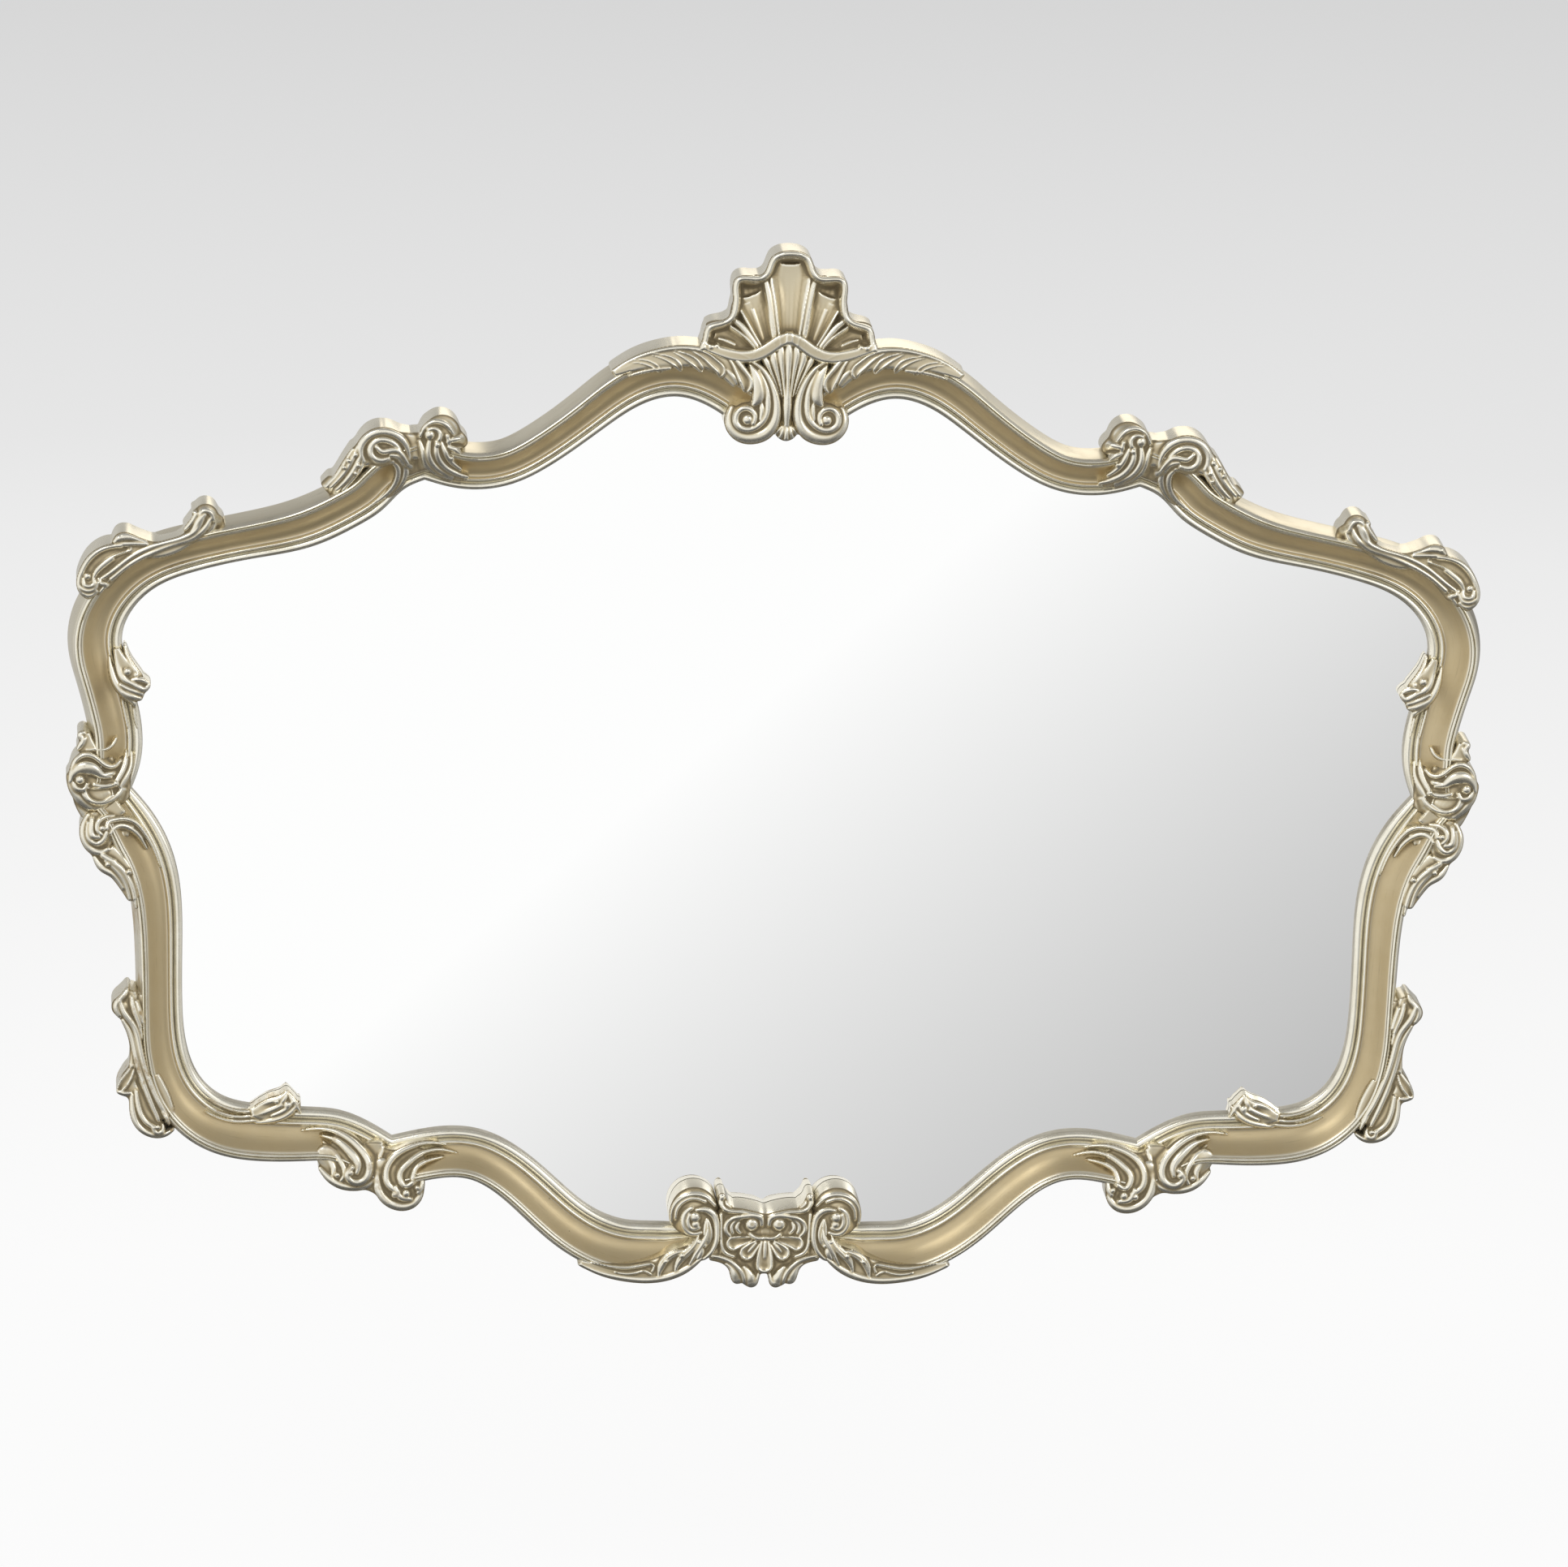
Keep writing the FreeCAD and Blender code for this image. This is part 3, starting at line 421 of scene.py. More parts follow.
# (x, z, width) as shares of half the width, half the height and the rail width, down the sight edge
PATH_SHARES = {
    "top": [(0.000, 0.643, 0.90), (0.046, 0.647, 0.93), (0.092, 0.682, 0.98), (0.156, 0.712, 1.02),
            (0.197, 0.699, 1.00), (0.247, 0.657, 0.93), (0.329, 0.578, 0.90), (0.378, 0.545, 0.90),
            (0.424, 0.533, 0.92), (0.467, 0.537, 0.93), (0.503, 0.550, 0.95)],
    "shoulder": [(0.503, 0.550, 0.95), (0.530, 0.533, 0.98), (0.559, 0.495, 1.00), (0.595, 0.462, 1.00),
                 (0.658, 0.422, 1.00), (0.740, 0.398, 0.93), (0.822, 0.372, 0.95), (0.872, 0.345, 1.00),
                 (0.905, 0.306, 1.05), (0.923, 0.245, 1.10), (0.916, 0.195, 1.10), (0.901, 0.123, 1.10),
                 (0.893, 0.036, 1.10), (0.900, -0.014, 1.12), (0.908, -0.043, 1.14)],
    "lower": [(0.908, -0.043, 1.14), (0.882, -0.084, 1.12), (0.852, -0.156, 1.10), (0.837, -0.241, 1.05),
              (0.834, -0.339, 0.98), (0.833, -0.458, 0.95), (0.824, -0.552, 1.02), (0.804, -0.608, 1.10),
              (0.770, -0.643, 1.17), (0.724, -0.656, 1.19), (0.658, -0.662, 1.12), (0.612, -0.667, 1.07),
              (0.571, -0.687, 1.05), (0.533, -0.717, 1.05)],
    "bottom": [(0.533, -0.717, 1.05), (0.493, -0.705, 1.05), (0.447, -0.698, 1.05), (0.403, -0.706, 1.05),
               (0.354, -0.738, 1.05), (0.296, -0.802, 1.07), (0.247, -0.855, 1.10), (0.197, -0.881, 1.14),
               (0.156, -0.884, 1.14), (0.082, -0.889, 1.10), (0.000, -0.891, 1.05)],
}
# the moulding's section: share of the width from the sight edge, height in mm above the frame's back
SECTION = [
    (0.000, 7.3), (0.000, 9.6), (0.000, 11.6), (0.008, 13.3), (0.028, 14.7), (0.056, 15.6), (0.085, 15.9),
    (0.115, 15.6), (0.143, 14.7), (0.162, 13.5), (0.174, 12.6), (0.184, 12.2), (0.194, 12.9), (0.200, 14.6),
    (0.210, 16.2), (0.226, 17.3), (0.245, 17.7), (0.264, 17.4), (0.281, 16.4), (0.292, 15.2), (0.302, 14.5),
    (0.325, 14.3), (0.365, 14.4), (0.410, 14.9), (0.460, 15.9), (0.510, 17.4), (0.560, 19.4), (0.610, 21.9),
    (0.655, 24.5), (0.695, 27.0), (0.725, 28.6), (0.740, 29.0), (0.747, 28.8), (0.752, 29.6), (0.761, 30.6),
    (0.774, 31.2), (0.787, 31.2), (0.798, 30.6), (0.806, 29.8), (0.811, 29.4), (0.816, 29.9), (0.825, 30.9),
    (0.838, 31.5), (0.852, 31.3), (0.864, 30.5), (0.872, 29.6), (0.878, 29.2), (0.886, 28.8), (0.903, 26.6),
    (0.928, 22.2), (0.955, 15.6), (0.980, 8.0), (0.994, 3.0), (1.000, 0.6), (1.000, 0.0),
]
# its flat back, with the step that the glass lies in
BACK = [(0.62, 0.0), (0.24, 0.0), (0.24, 3.6), (0.24, 7.3), (0.12, 7.3), (0.0, 7.3)]
# how far, in mm, each rail dips under the carving at its start and end
DIPS = {"top": (52.0, 34.0), "shoulder": (34.0, 26.0), "lower": (26.0, 34.0), "bottom": (34.0, 84.0)}
LEAST_HEIGHT_SHARE, DIP_SHARE = 0.72, 0.28      # of the moulding's height: left under a carving, and the rest
GLASS_SEAT = 0.0073                 # metres above the frame's back; what lies lower doesn't dip
PATH_STEPS, SWEEP_STEP = 160, 2.2   # steps of a sight edge, and mm between the moulding's own
LEAD = 24.0                         # mm that a rail runs on before its mitre is cut
THIN_WIDTH, THIN_UP_TO = 26.0, 50.0     # mm: the bottom rail's width beside the plaque, and up to which x
THIN_GROWTH = 0.62                  # how much wider it may be for each mm further out
WAIST_CUT, WAIST_REACH = 11.0, 46.0     # mm taken off the width at the waist, and from how far away
CREASE_ANGLE = 50                   # degrees; faces that meet at more are parted by a crease


def spline(rows, count):
    """A natural cubic curve through the rows, given back as count + 1 evenly spaced rows."""
    rows = np.array(rows, float)
    knots = np.concatenate([[0.0], np.cumsum(np.linalg.norm(np.diff(rows[:, :2], axis=0), axis=1))])
    gap, n = np.diff(knots), len(rows)
    system, pull = np.eye(n), np.zeros_like(rows)
    for i in range(1, n - 1):
        system[i, i - 1:i + 2] = gap[i - 1], 2 * (gap[i - 1] + gap[i]), gap[i]
        pull[i] = 6 * ((rows[i + 1] - rows[i]) / gap[i] - (rows[i] - rows[i - 1]) / gap[i - 1])
    bend = np.linalg.solve(system, pull)
    at = np.linspace(0, knots[-1], count + 1)
    i = np.clip(np.searchsorted(knots, at, side="right") - 1, 0, n - 2)
    a, b, h = (knots[i + 1] - at)[:, None], (at - knots[i])[:, None], gap[i][:, None]
    return (bend[i] * a ** 3 + bend[i + 1] * b ** 3) / (6 * h) + (rows[i] / h - bend[i] * h / 6) * a \
        + (rows[i + 1] / h - bend[i + 1] * h / 6) * b


def rail_path(name):
    """The sight edge of a right-hand rail in millimetres: x, z and width."""
    path = spline([(x * HALF_WIDTH, z * HALF_HEIGHT - HANG_DROP, w * RAIL_WIDTH)
                   for x, z, w in PATH_SHARES[name]], PATH_STEPS)
    if name == "bottom":    # it runs thin under the leaves beside the plaque
        wider = np.maximum(0.0, path[:, 0] - THIN_UP_TO) * THIN_GROWTH
        path[:, 2] = np.minimum(path[:, 2], THIN_WIDTH + wider)
    if name in ("shoulder", "lower"):    # their corner at the waist is cut back behind the scrolls
        waist = path[-1 if name == "shoulder" else 0]
        near = np.hypot(path[:, 0] - waist[0], path[:, 1] - waist[1])
        path[:, 2] = path[:, 2] - WAIST_CUT * np.clip(1.0 - near / WAIST_REACH, 0, 1) ** 2
    return path


def travel(path, end):
    """The way a path goes at its start (0) or end (-1)."""
    step = path[1] - path[0] if end == 0 else path[-1] - path[-2]
    return step[:2] / np.linalg.norm(step[:2])


paths = {name: rail_path(name) for name in PATH_SHARES}
order = list(PATH_SHARES)


def dipped(name, path):
    """The share of the moulding's height left at each point of a path: less where a carving covers it."""
    run = np.concatenate([[0.0], np.cumsum(np.linalg.norm(np.diff(path[:, :2], axis=0), axis=1))])
    start, end = DIPS[name]
    near = np.minimum(np.clip(run / start, 0, 1), np.clip((run[-1] - run) / end, 0, 1))
    near = np.clip(near * 2.2 - 0.6, 0, 1)      # level under the carving and just before it
    return LEAST_HEIGHT_SHARE + DIP_SHARE * near * near * (3 - 2 * near)


def mitre(first, second):
    """The point and the direction of the cut between two rails that follow each other."""
    if first is None:
        return paths[second][0][:2], np.array([1.0, 0.0])
    if second is None:
        return paths[first][-1][:2], np.array([-1.0, 0.0])
    way = travel(paths[first], -1) + travel(paths[second], 0)
    return paths[first][-1][:2], way / np.linalg.norm(way)


def line_object(name, points, **stored):
    """A plain line of points, with named numbers stored on each."""
    mesh = bpy.data.meshes.new(name)
    mesh.from_pydata([tuple(p) for p in points], [(i, i + 1) for i in range(len(points) - 1)], [])
    for title, values in stored.items():
        mesh.attributes.new(title, "FLOAT", "POINT").data.foreach_set("value", np.array(values, np.float32))
    made = bpy.data.objects.new(name, mesh)
    bpy.context.collection.objects.link(made)
    return made


class Geo(Graph):
    """A geometry node tree with named inputs."""

    def __init__(self, name, inputs):
        tree = bpy.data.node_groups.new(name, "GeometryNodeTree")
        super().__init__(tree)
        tree.interface.new_socket("Geometry", in_out="INPUT", socket_type="NodeSocketGeometry")
        for title, kind in inputs:
            tree.interface.new_socket(title, in_out="INPUT", socket_type=kind)
        tree.interface.new_socket("Geometry", in_out="OUTPUT", socket_type="NodeSocketGeometry")
        self.inputs = self.add("NodeGroupInput")

    def result(self, geometry, made):
        geometry = self.add("GeometryNodeSetShadeSmooth", {}, {"Geometry": geometry, "Shade Smooth": True})[0]
        geometry = self.add("GeometryNodeRealizeInstances", {}, {0: geometry})[0]
        geometry = self.add("GeometryNodeSetMaterial", {}, {"Geometry": geometry, "Material": made})[0]
        self.add("NodeGroupOutput", {}, {0: geometry})


def geo_mesh(name, graph, values):
    """The plain mesh that a geometry node tree makes with those input values."""
    holder = bpy.data.objects.new(name, bpy.data.meshes.new(name))
    bpy.context.collection.objects.link(holder)
    modifier = holder.modifiers.new(name, "NODES")
    modifier.node_group = graph.tree
    for item in graph.tree.interface.items_tree:
        if item.in_out == "INPUT" and item.name in values:
            modifier[item.identifier] = values[item.name]
    reach = bpy.context.evaluated_depsgraph_get()
    mesh = bpy.data.meshes.new_from_object(holder.evaluated_get(reach), preserve_all_data_layers=True,
                                           depsgraph=reach)
    bpy.data.objects.remove(holder)
    made = [m for m in mesh.materials if m]
    mesh.materials.clear()
    for one in made:
        mesh.materials.append(one)
    return mesh


def rail_tree():
    """The section swept along the sight edge, as wide at each step as the rail is there."""
    graph = Geo("moulding_sweep", [("Sight edge", "NodeSocketObject"), ("Section", "NodeSocketObject"),
                                   ("Steps", "NodeSocketInt"), ("Section points", "NodeSocketInt"),
                                   ("Material", "NodeSocketMaterial")])
    given = graph.inputs
    edge, section = [graph.add("GeometryNodeObjectInfo", {}, {"Object": given[title]})["Geometry"]
                     for title in ("Sight edge", "Section")]
    edge = graph.add("GeometryNodeMeshToCurve", {}, {0: edge})[0]
    grid = graph.add("GeometryNodeMeshGrid", {}, {"Size X": 1.0, "Size Y": 1.0, "Vertices X": given["Steps"],
                                                  "Vertices Y": given["Section points"]})["Mesh"]
    t, v, _ = graph.apart(graph.add("GeometryNodeInputPosition")[0])
    t, v = t + 0.5, v + 0.5
    index = (v * (given["Section points"] - 1.0)).math("ROUND")
    width, rise = [graph.add("GeometryNodeInputNamedAttribute", {"data_type": "FLOAT"}, {"Name": title})[0]
                   for title in ("rail_width", "rise")]
    sample = graph.add("GeometryNodeSampleCurve", {"mode": "FACTOR", "data_type": "FLOAT"},
                       {"Curves": edge, 1: width, "Factor": t})
    lift = graph.add("GeometryNodeSampleCurve", {"mode": "FACTOR", "data_type": "FLOAT"},
                     {"Curves": edge, 1: rise, "Factor": t})[0]
    spot = graph.add("GeometryNodeInputPosition")[0]
    corner = graph.add("GeometryNodeSampleIndex", {"data_type": "FLOAT_VECTOR", "domain": "POINT"},
                       {"Geometry": section, "Value": spot, "Index": index})[0]
    share, height, _ = graph.apart(corner)
    towards_wall = (0.0, 1.0, 0.0)
    outward = graph.vector("NORMALIZE", graph.vector("CROSS_PRODUCT", sample["Tangent"], towards_wall))
    out = graph.add("ShaderNodeVectorMath", {"operation": "SCALE"},
                    {0: outward, "Scale": share * sample[0]})[0]
    sunk = (height - GLASS_SEAT).math("MAXIMUM", 0.0)
    height = height - sunk * (1.0 - lift)
    rise = graph.add("ShaderNodeCombineXYZ", {}, {1: height * -1.0})[0]
    place = graph.vector("ADD", graph.vector("ADD", sample["Position"], out), rise)
    length = graph.add("GeometryNodeCurveLength", {}, {0: edge})[0]
    for name, value in (("across", share), ("along", t * length)):
        grid = graph.add("GeometryNodeStoreNamedAttribute", {"data_type": "FLOAT", "domain": "POINT"},
                         {"Geometry": grid, "Name": name, "Value": value})[0]
    grid = graph.add("GeometryNodeSetPosition", {}, {"Geometry": grid, "Position": place})[0]
    graph.result(grid, given["Material"])
    return graph


def cut(shape, point, way):
    """Keeps what lies ahead of a mitre cut, and closes it."""
    found = bmesh.ops.bisect_plane(shape, geom=shape.verts[:] + shape.edges[:] + shape.faces[:], dist=1e-7,
                                   plane_co=(point[0] * MM, 0, point[1] * MM),
                                   plane_no=(way[0], 0, way[1]), clear_inner=True)
    rim = [e for e in found["geom_cut"] if isinstance(e, bmesh.types.BMEdge) and e.is_boundary]
    bmesh.ops.triangle_fill(shape, edges=rim, use_beauty=True)


def placed(name, mesh, made, body="frame", stands_for=()):
    """A finished piece on its body."""
    piece = bpy.data.objects.new(name, mesh)
    bpy.context.collection.objects.link(piece)
    for one in (made if isinstance(made, (list, tuple)) else [made]):
        if one.name not in [m.name for m in mesh.materials if m]:
            mesh.materials.append(one)
    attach(piece, body)
    if stands_for:
        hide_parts(*stands_for)
    return piece


def mirrored(mesh, name):
    """The left-hand copy of a right-hand mesh."""
    copy = mesh.copy()
    copy.name = name
    copy.transform(Matrix.Diagonal((-1, 1, 1, 1)))
    copy.flip_normals()
    return copy


def placed_pair(piece, node, mesh, made, body="frame"):
    """A right-hand piece and its mirror image, each in place of the node that has its side in the name."""
    for side in SIDES:
        own = mesh if side == "right" else mirrored(mesh, f"{mesh.name}_left")
        placed(f"{piece}_{side}", own, made, body=body if body == "frame" else f"{body}_{side}",
               stands_for=[f"{node}_{side}"])


def build_rails():
    """The four mouldings of a side and their mirror images, cut to each other at the mitres."""
    profile = SECTION + BACK
    section = line_object("section", [(u, h * MM, 0.0) for u, h in profile])
    graph = rail_tree()
    for place, name in enumerate(order):
        path = paths[name]
        before = mitre(order[place - 1] if place else None, name)
        after = mitre(name, order[place + 1] if place < 3 else None)
        start = np.append(path[0][:2] - travel(path, 0) * LEAD, path[0][2])
        end = np.append(path[-1][:2] + travel(path, -1) * LEAD, path[-1][2])
        rows = np.vstack([start, path, end])
        edge = line_object("sight_edge", [(x * MM, -WALL_GAP * MM, z * MM) for x, z, _ in rows],
                           rail_width=rows[:, 2] * MM, rise=dipped(name, rows))
        length = np.linalg.norm(np.diff(rows[:, :2], axis=0), axis=1).sum()
        mesh = geo_mesh(f"{name}_rail", graph,
                        {"Sight edge": edge, "Section": section, "Material": moulding,
                         "Steps": int(length / SWEEP_STEP), "Section points": len(profile)})
        shape = bmesh.new()
        shape.from_mesh(mesh)
        bmesh.ops.remove_doubles(shape, verts=shape.verts, dist=1e-6)
        cut(shape, *before)
        cut(shape, after[0], -after[1])
        bmesh.ops.recalc_face_normals(shape, faces=shape.faces)
        for face in shape.faces:
            face.smooth = True
        shape.to_mesh(mesh)
        shape.free()
        mesh.materials.append(bare_back)
        middle = np.array([p.center[1] for p in mesh.polygons])
        back = (middle > -WALL_GAP * MM - 1e-5).astype(np.int32)
        mesh.polygons.foreach_set("material_index", back)
        mesh.set_sharp_from_angle(angle=radians(CREASE_ANGLE))
        placed_pair(f"{name}_moulding", f"{name}_rail", mesh, [moulding, bare_back])
        bpy.data.objects.remove(edge)
    bpy.data.objects.remove(section)


build_rails()


# Carving tools, all in millimetres, heights above the frame's back

SHEET_HEIGHT = 16.0         # the height at which a point of the sheet is drawn in its true place
SHEET_RISE = 0.249          # how much further up a point lies for each mm that it stands higher
SHEET_DROP = 110.6          # the sheet's middle below the frame's
HIGHEST = 37.4              # no carving stands higher
RIM, RIM_DROP = 2.4, 2.3    # how far in a rim is rounded, and how far down
SOFT_SIDE = 0.45            # how softly the outlines of strokes melt together
GLASS_FOOT = 8.3            # the back of what lies over the glass stands clear of it
GLASS_REACH = 11.5          # how far outside the sight edge that ends
LEAST_WALL = 3.4            # from a back to the relief's lowest point
GRID = 0.7                  # between the points of the relief
LEAST_HALF, WIDENED = 0.35, 0.45    # a stroke's least half width, and what is added to one without a depth
# how often the stepped border is drawn out into a smooth line, and its flare
BORDER_ROUNDS, FLARE_ROUNDS = 14, 40
# what a stroke looks like from its middle to its side: share of its half width, share of its depth
FORMS = {
    "roll": [(0.0, 1.0), (0.31, 0.95), (0.59, 0.81), (0.81, 0.59), (0.95, 0.31), (1.0, 0.0)],
    "flat": [(0.0, 1.0), (0.55, 1.0), (0.80, 0.93), (0.93, 0.76), (1.0, 0.45)],
    "blade": [(0.0, 0.20), (0.20, 0.25), (0.45, 0.46), (0.66, 0.80), (0.80, 0.97), (0.90, 0.92), (1.0, 0.30)],
    "hollow": [(0.0, 0.10), (0.30, 0.17), (0.60, 0.42), (0.82, 0.80), (0.92, 0.97), (1.0, 1.0)],
    "leaf": [(0.0, 1.0), (0.10, 0.82), (0.30, 0.60), (0.55, 0.56), (0.80, 0.72), (0.92, 0.62), (1.0, 0.0)],
}
FORMS["ball"] = FORMS["roll"]


def smooth_rows(rows, step=1.3):
    """Rows of a stroke, filled in by a soft curve about every step millimetres."""
    rows = [tuple(row) for row in rows]
    if len(rows) < 3:
        rows.insert(1, tuple((a + b) / 2 for a, b in zip(*rows)))
    length = sum(hypot(b[0] - a[0], b[1] - a[1]) for a, b in zip(rows, rows[1:]))
    return spline(rows, max(6, int(length / step)))


def beside(rows, x, z, square=False):
    """For points of the sheet: how far a line is, and the line's half width and last number there.

    A square line stops dead at its ends; any other ends in a round cap.
    """
    best = np.full(x.shape, 1e9)
    far, wide, last, past = best.copy(), np.ones(x.shape), np.zeros(x.shape), np.zeros(x.shape)
    for number, (a, b) in enumerate(zip(rows, rows[1:])):
        way = b[:2] - a[:2]
        length = np.sqrt(way @ way + 1e-9)
        free = ((x - a[0]) * way[0] + (z - a[1]) * way[1]) / length ** 2
        t = np.clip(free, 0, 1)
        away = np.hypot(x - a[0] - t * way[0], z - a[1] - t * way[1])
        half = a[2] + (b[2] - a[2]) * t
        near = away - half < best
        best, far = np.where(near, away - half, best), np.where(near, away, far)
        wide, last = np.where(near, half, wide), np.where(near, a[3] + (b[3] - a[3]) * t, last)
        over = np.zeros(x.shape)
        if square and number == 0:
            over = np.maximum(over, -free * length)
        if square and number == len(rows) - 2:
            over = np.maximum(over, (free - 1) * length)
        past = np.where(near, over, past)
    wide = np.maximum(wide, 0.2)
    return np.where(past > 0, np.maximum(far, wide + past), far), wide, last


def enclosed(mask):
    """The holes in a mask: empty points that can't be reached from the border."""
    free = np.pad(~mask, 1, constant_values=True)
    reached = np.zeros(free.shape, bool)
    reached[0] = reached[-1] = reached[:, 0] = reached[:, -1] = True
    while True:
        grown = reached.copy()
        for axis in (0, 1):
            for way in (1, -1):
                grown |= np.roll(reached, way, axis)
        grown &= free
        if (grown == reached).all():
            return (free & ~reached)[1:-1, 1:-1]
        reached = grown


def closed_up(height, rounds):
    """The relief with every cut narrower than twice that many points filled."""
    room = rounds + 1
    work = np.pad(np.maximum(height, -8.0), room, mode="edge")
    for pick in (np.max, np.min):
        for _ in range(rounds):
            work = pick([work] + [np.roll(work, way, axis) for axis in (0, 1) for way in (1, -1)], axis=0)
    return work[room:-room, room:-room]


def inward(mask, step, rounds):
    """How far each point of a mask lies from the mask's border, up to some steps."""
    away = np.where(mask, step * rounds, 0.0)
    for _ in range(rounds):
        for i, j in ((1, 0), (-1, 0), (0, 1), (0, -1), (1, 1), (1, -1), (-1, 1), (-1, -1)):
            away = np.minimum(away, np.roll(away, (i, j), (0, 1)) + step * hypot(i, j))
    return away


def blurred(values, mask, rounds):
    """Values spread to their neighbours inside a mask."""
    share = mask.astype(float)
    for _ in range(rounds):
        total, count = values * share * 2, share * 2
        for axis in (0, 1):
            for way in (1, -1):
                total = total + np.roll(values * share, way, axis)
                count = count + np.roll(share, way, axis)
        values = np.where(mask, total / np.maximum(count, 1e-6), values)
    return values


def sight_distance(x, z):
    """How far each true point lies outside the sight edge, negative over the glass."""
    line = np.concatenate([paths[name][::3, :2] for name in order])
    way = np.concatenate([np.gradient(paths[name][::3, :2], axis=0) for name in order])
    way /= np.linalg.norm(way, axis=1)[:, None]
    spots = np.stack([np.abs(x).ravel(), z.ravel()], axis=1)
    near = np.array([np.argmin(((line - spot) ** 2).sum(axis=1)) for spot in spots])
    off = spots - line[near]
    return (off[:, 1] * way[near, 0] - off[:, 0] * way[near, 1]).reshape(x.shape)


def whole_cells(mask):
    """The sheet's cells with all four corners in a mask, without any two that touch only at a corner."""
    cells = mask[:-1, :-1] & mask[1:, :-1] & mask[:-1, 1:] & mask[1:, 1:]
    for _ in range(4):      # such a pair would leave a seam that is not closed
        a, b, c, d = cells[:-1, :-1], cells[1:, 1:], cells[1:, :-1], cells[:-1, 1:]
        a[a & b & ~c & ~d] = False
        c[c & d & ~a & ~b] = False
    return cells


def bare_sides(cells):
    """The sides of cells that have no neighbour there: their first corners' i and j, and their second's."""
    room = np.pad(cells, 1)
    i, j = np.argwhere(cells).T
    sides = []
    for di, dj, one, two in ((0, -1, (0, 0), (1, 0)), (1, 0, (1, 0), (1, 1)), (0, 1, (1, 1), (0, 1)),
                             (-1, 0, (0, 1), (0, 0))):
        bare = ~room[i + 1 + di, j + 1 + dj]
        sides.append(np.stack([i[bare] + one[0], j[bare] + one[1], i[bare] + two[0], j[bare] + two[1]]))
    i0, j0, i1, j1 = np.concatenate(sides, axis=1)
    return (i0, j0), (i1, j1)


def draw_out(line, edge, start, end):
    """Moves each border value half way to the mean of its neighbours along the border."""
    total, count = np.zeros(line.shape), np.zeros(line.shape)
    for to, of in ((start, end), (end, start)):
        np.add.at(total, to, line[of])
        np.add.at(count, to, 1)
    line[edge] = line[edge] * 0.5 + 0.5 * total[edge] / count[edge]


def skin_faces(cells, used, edge, start, end):
    """The faces of a front, a wall of two rings below its border and a flat back, numbered in that order."""
    index, ring = np.full(used.shape, -1), np.full(used.shape, -1)
    index[used], ring[edge] = np.arange(used.sum()), np.arange(edge.sum())
    first_ring = used.sum()
    second_ring = first_ring + edge.sum()
    back = second_ring + edge.sum()
    i, j = np.argwhere(cells).T
    front = np.stack([index[i, j], index[i + 1, j], index[i + 1, j + 1], index[i, j + 1]], axis=1)
    faces = [front, front[:, ::-1] + back]
    rows = [(layer[start] + at, layer[end] + at)
            for layer, at in ((index, 0), (ring, first_ring), (ring, second_ring), (index, back))]
    for (a0, b0), (a1, b1) in zip(rows, rows[1:]):
        faces.append(np.stack([b0, a0, a1, b1], axis=1))
    return np.concatenate(faces).tolist()


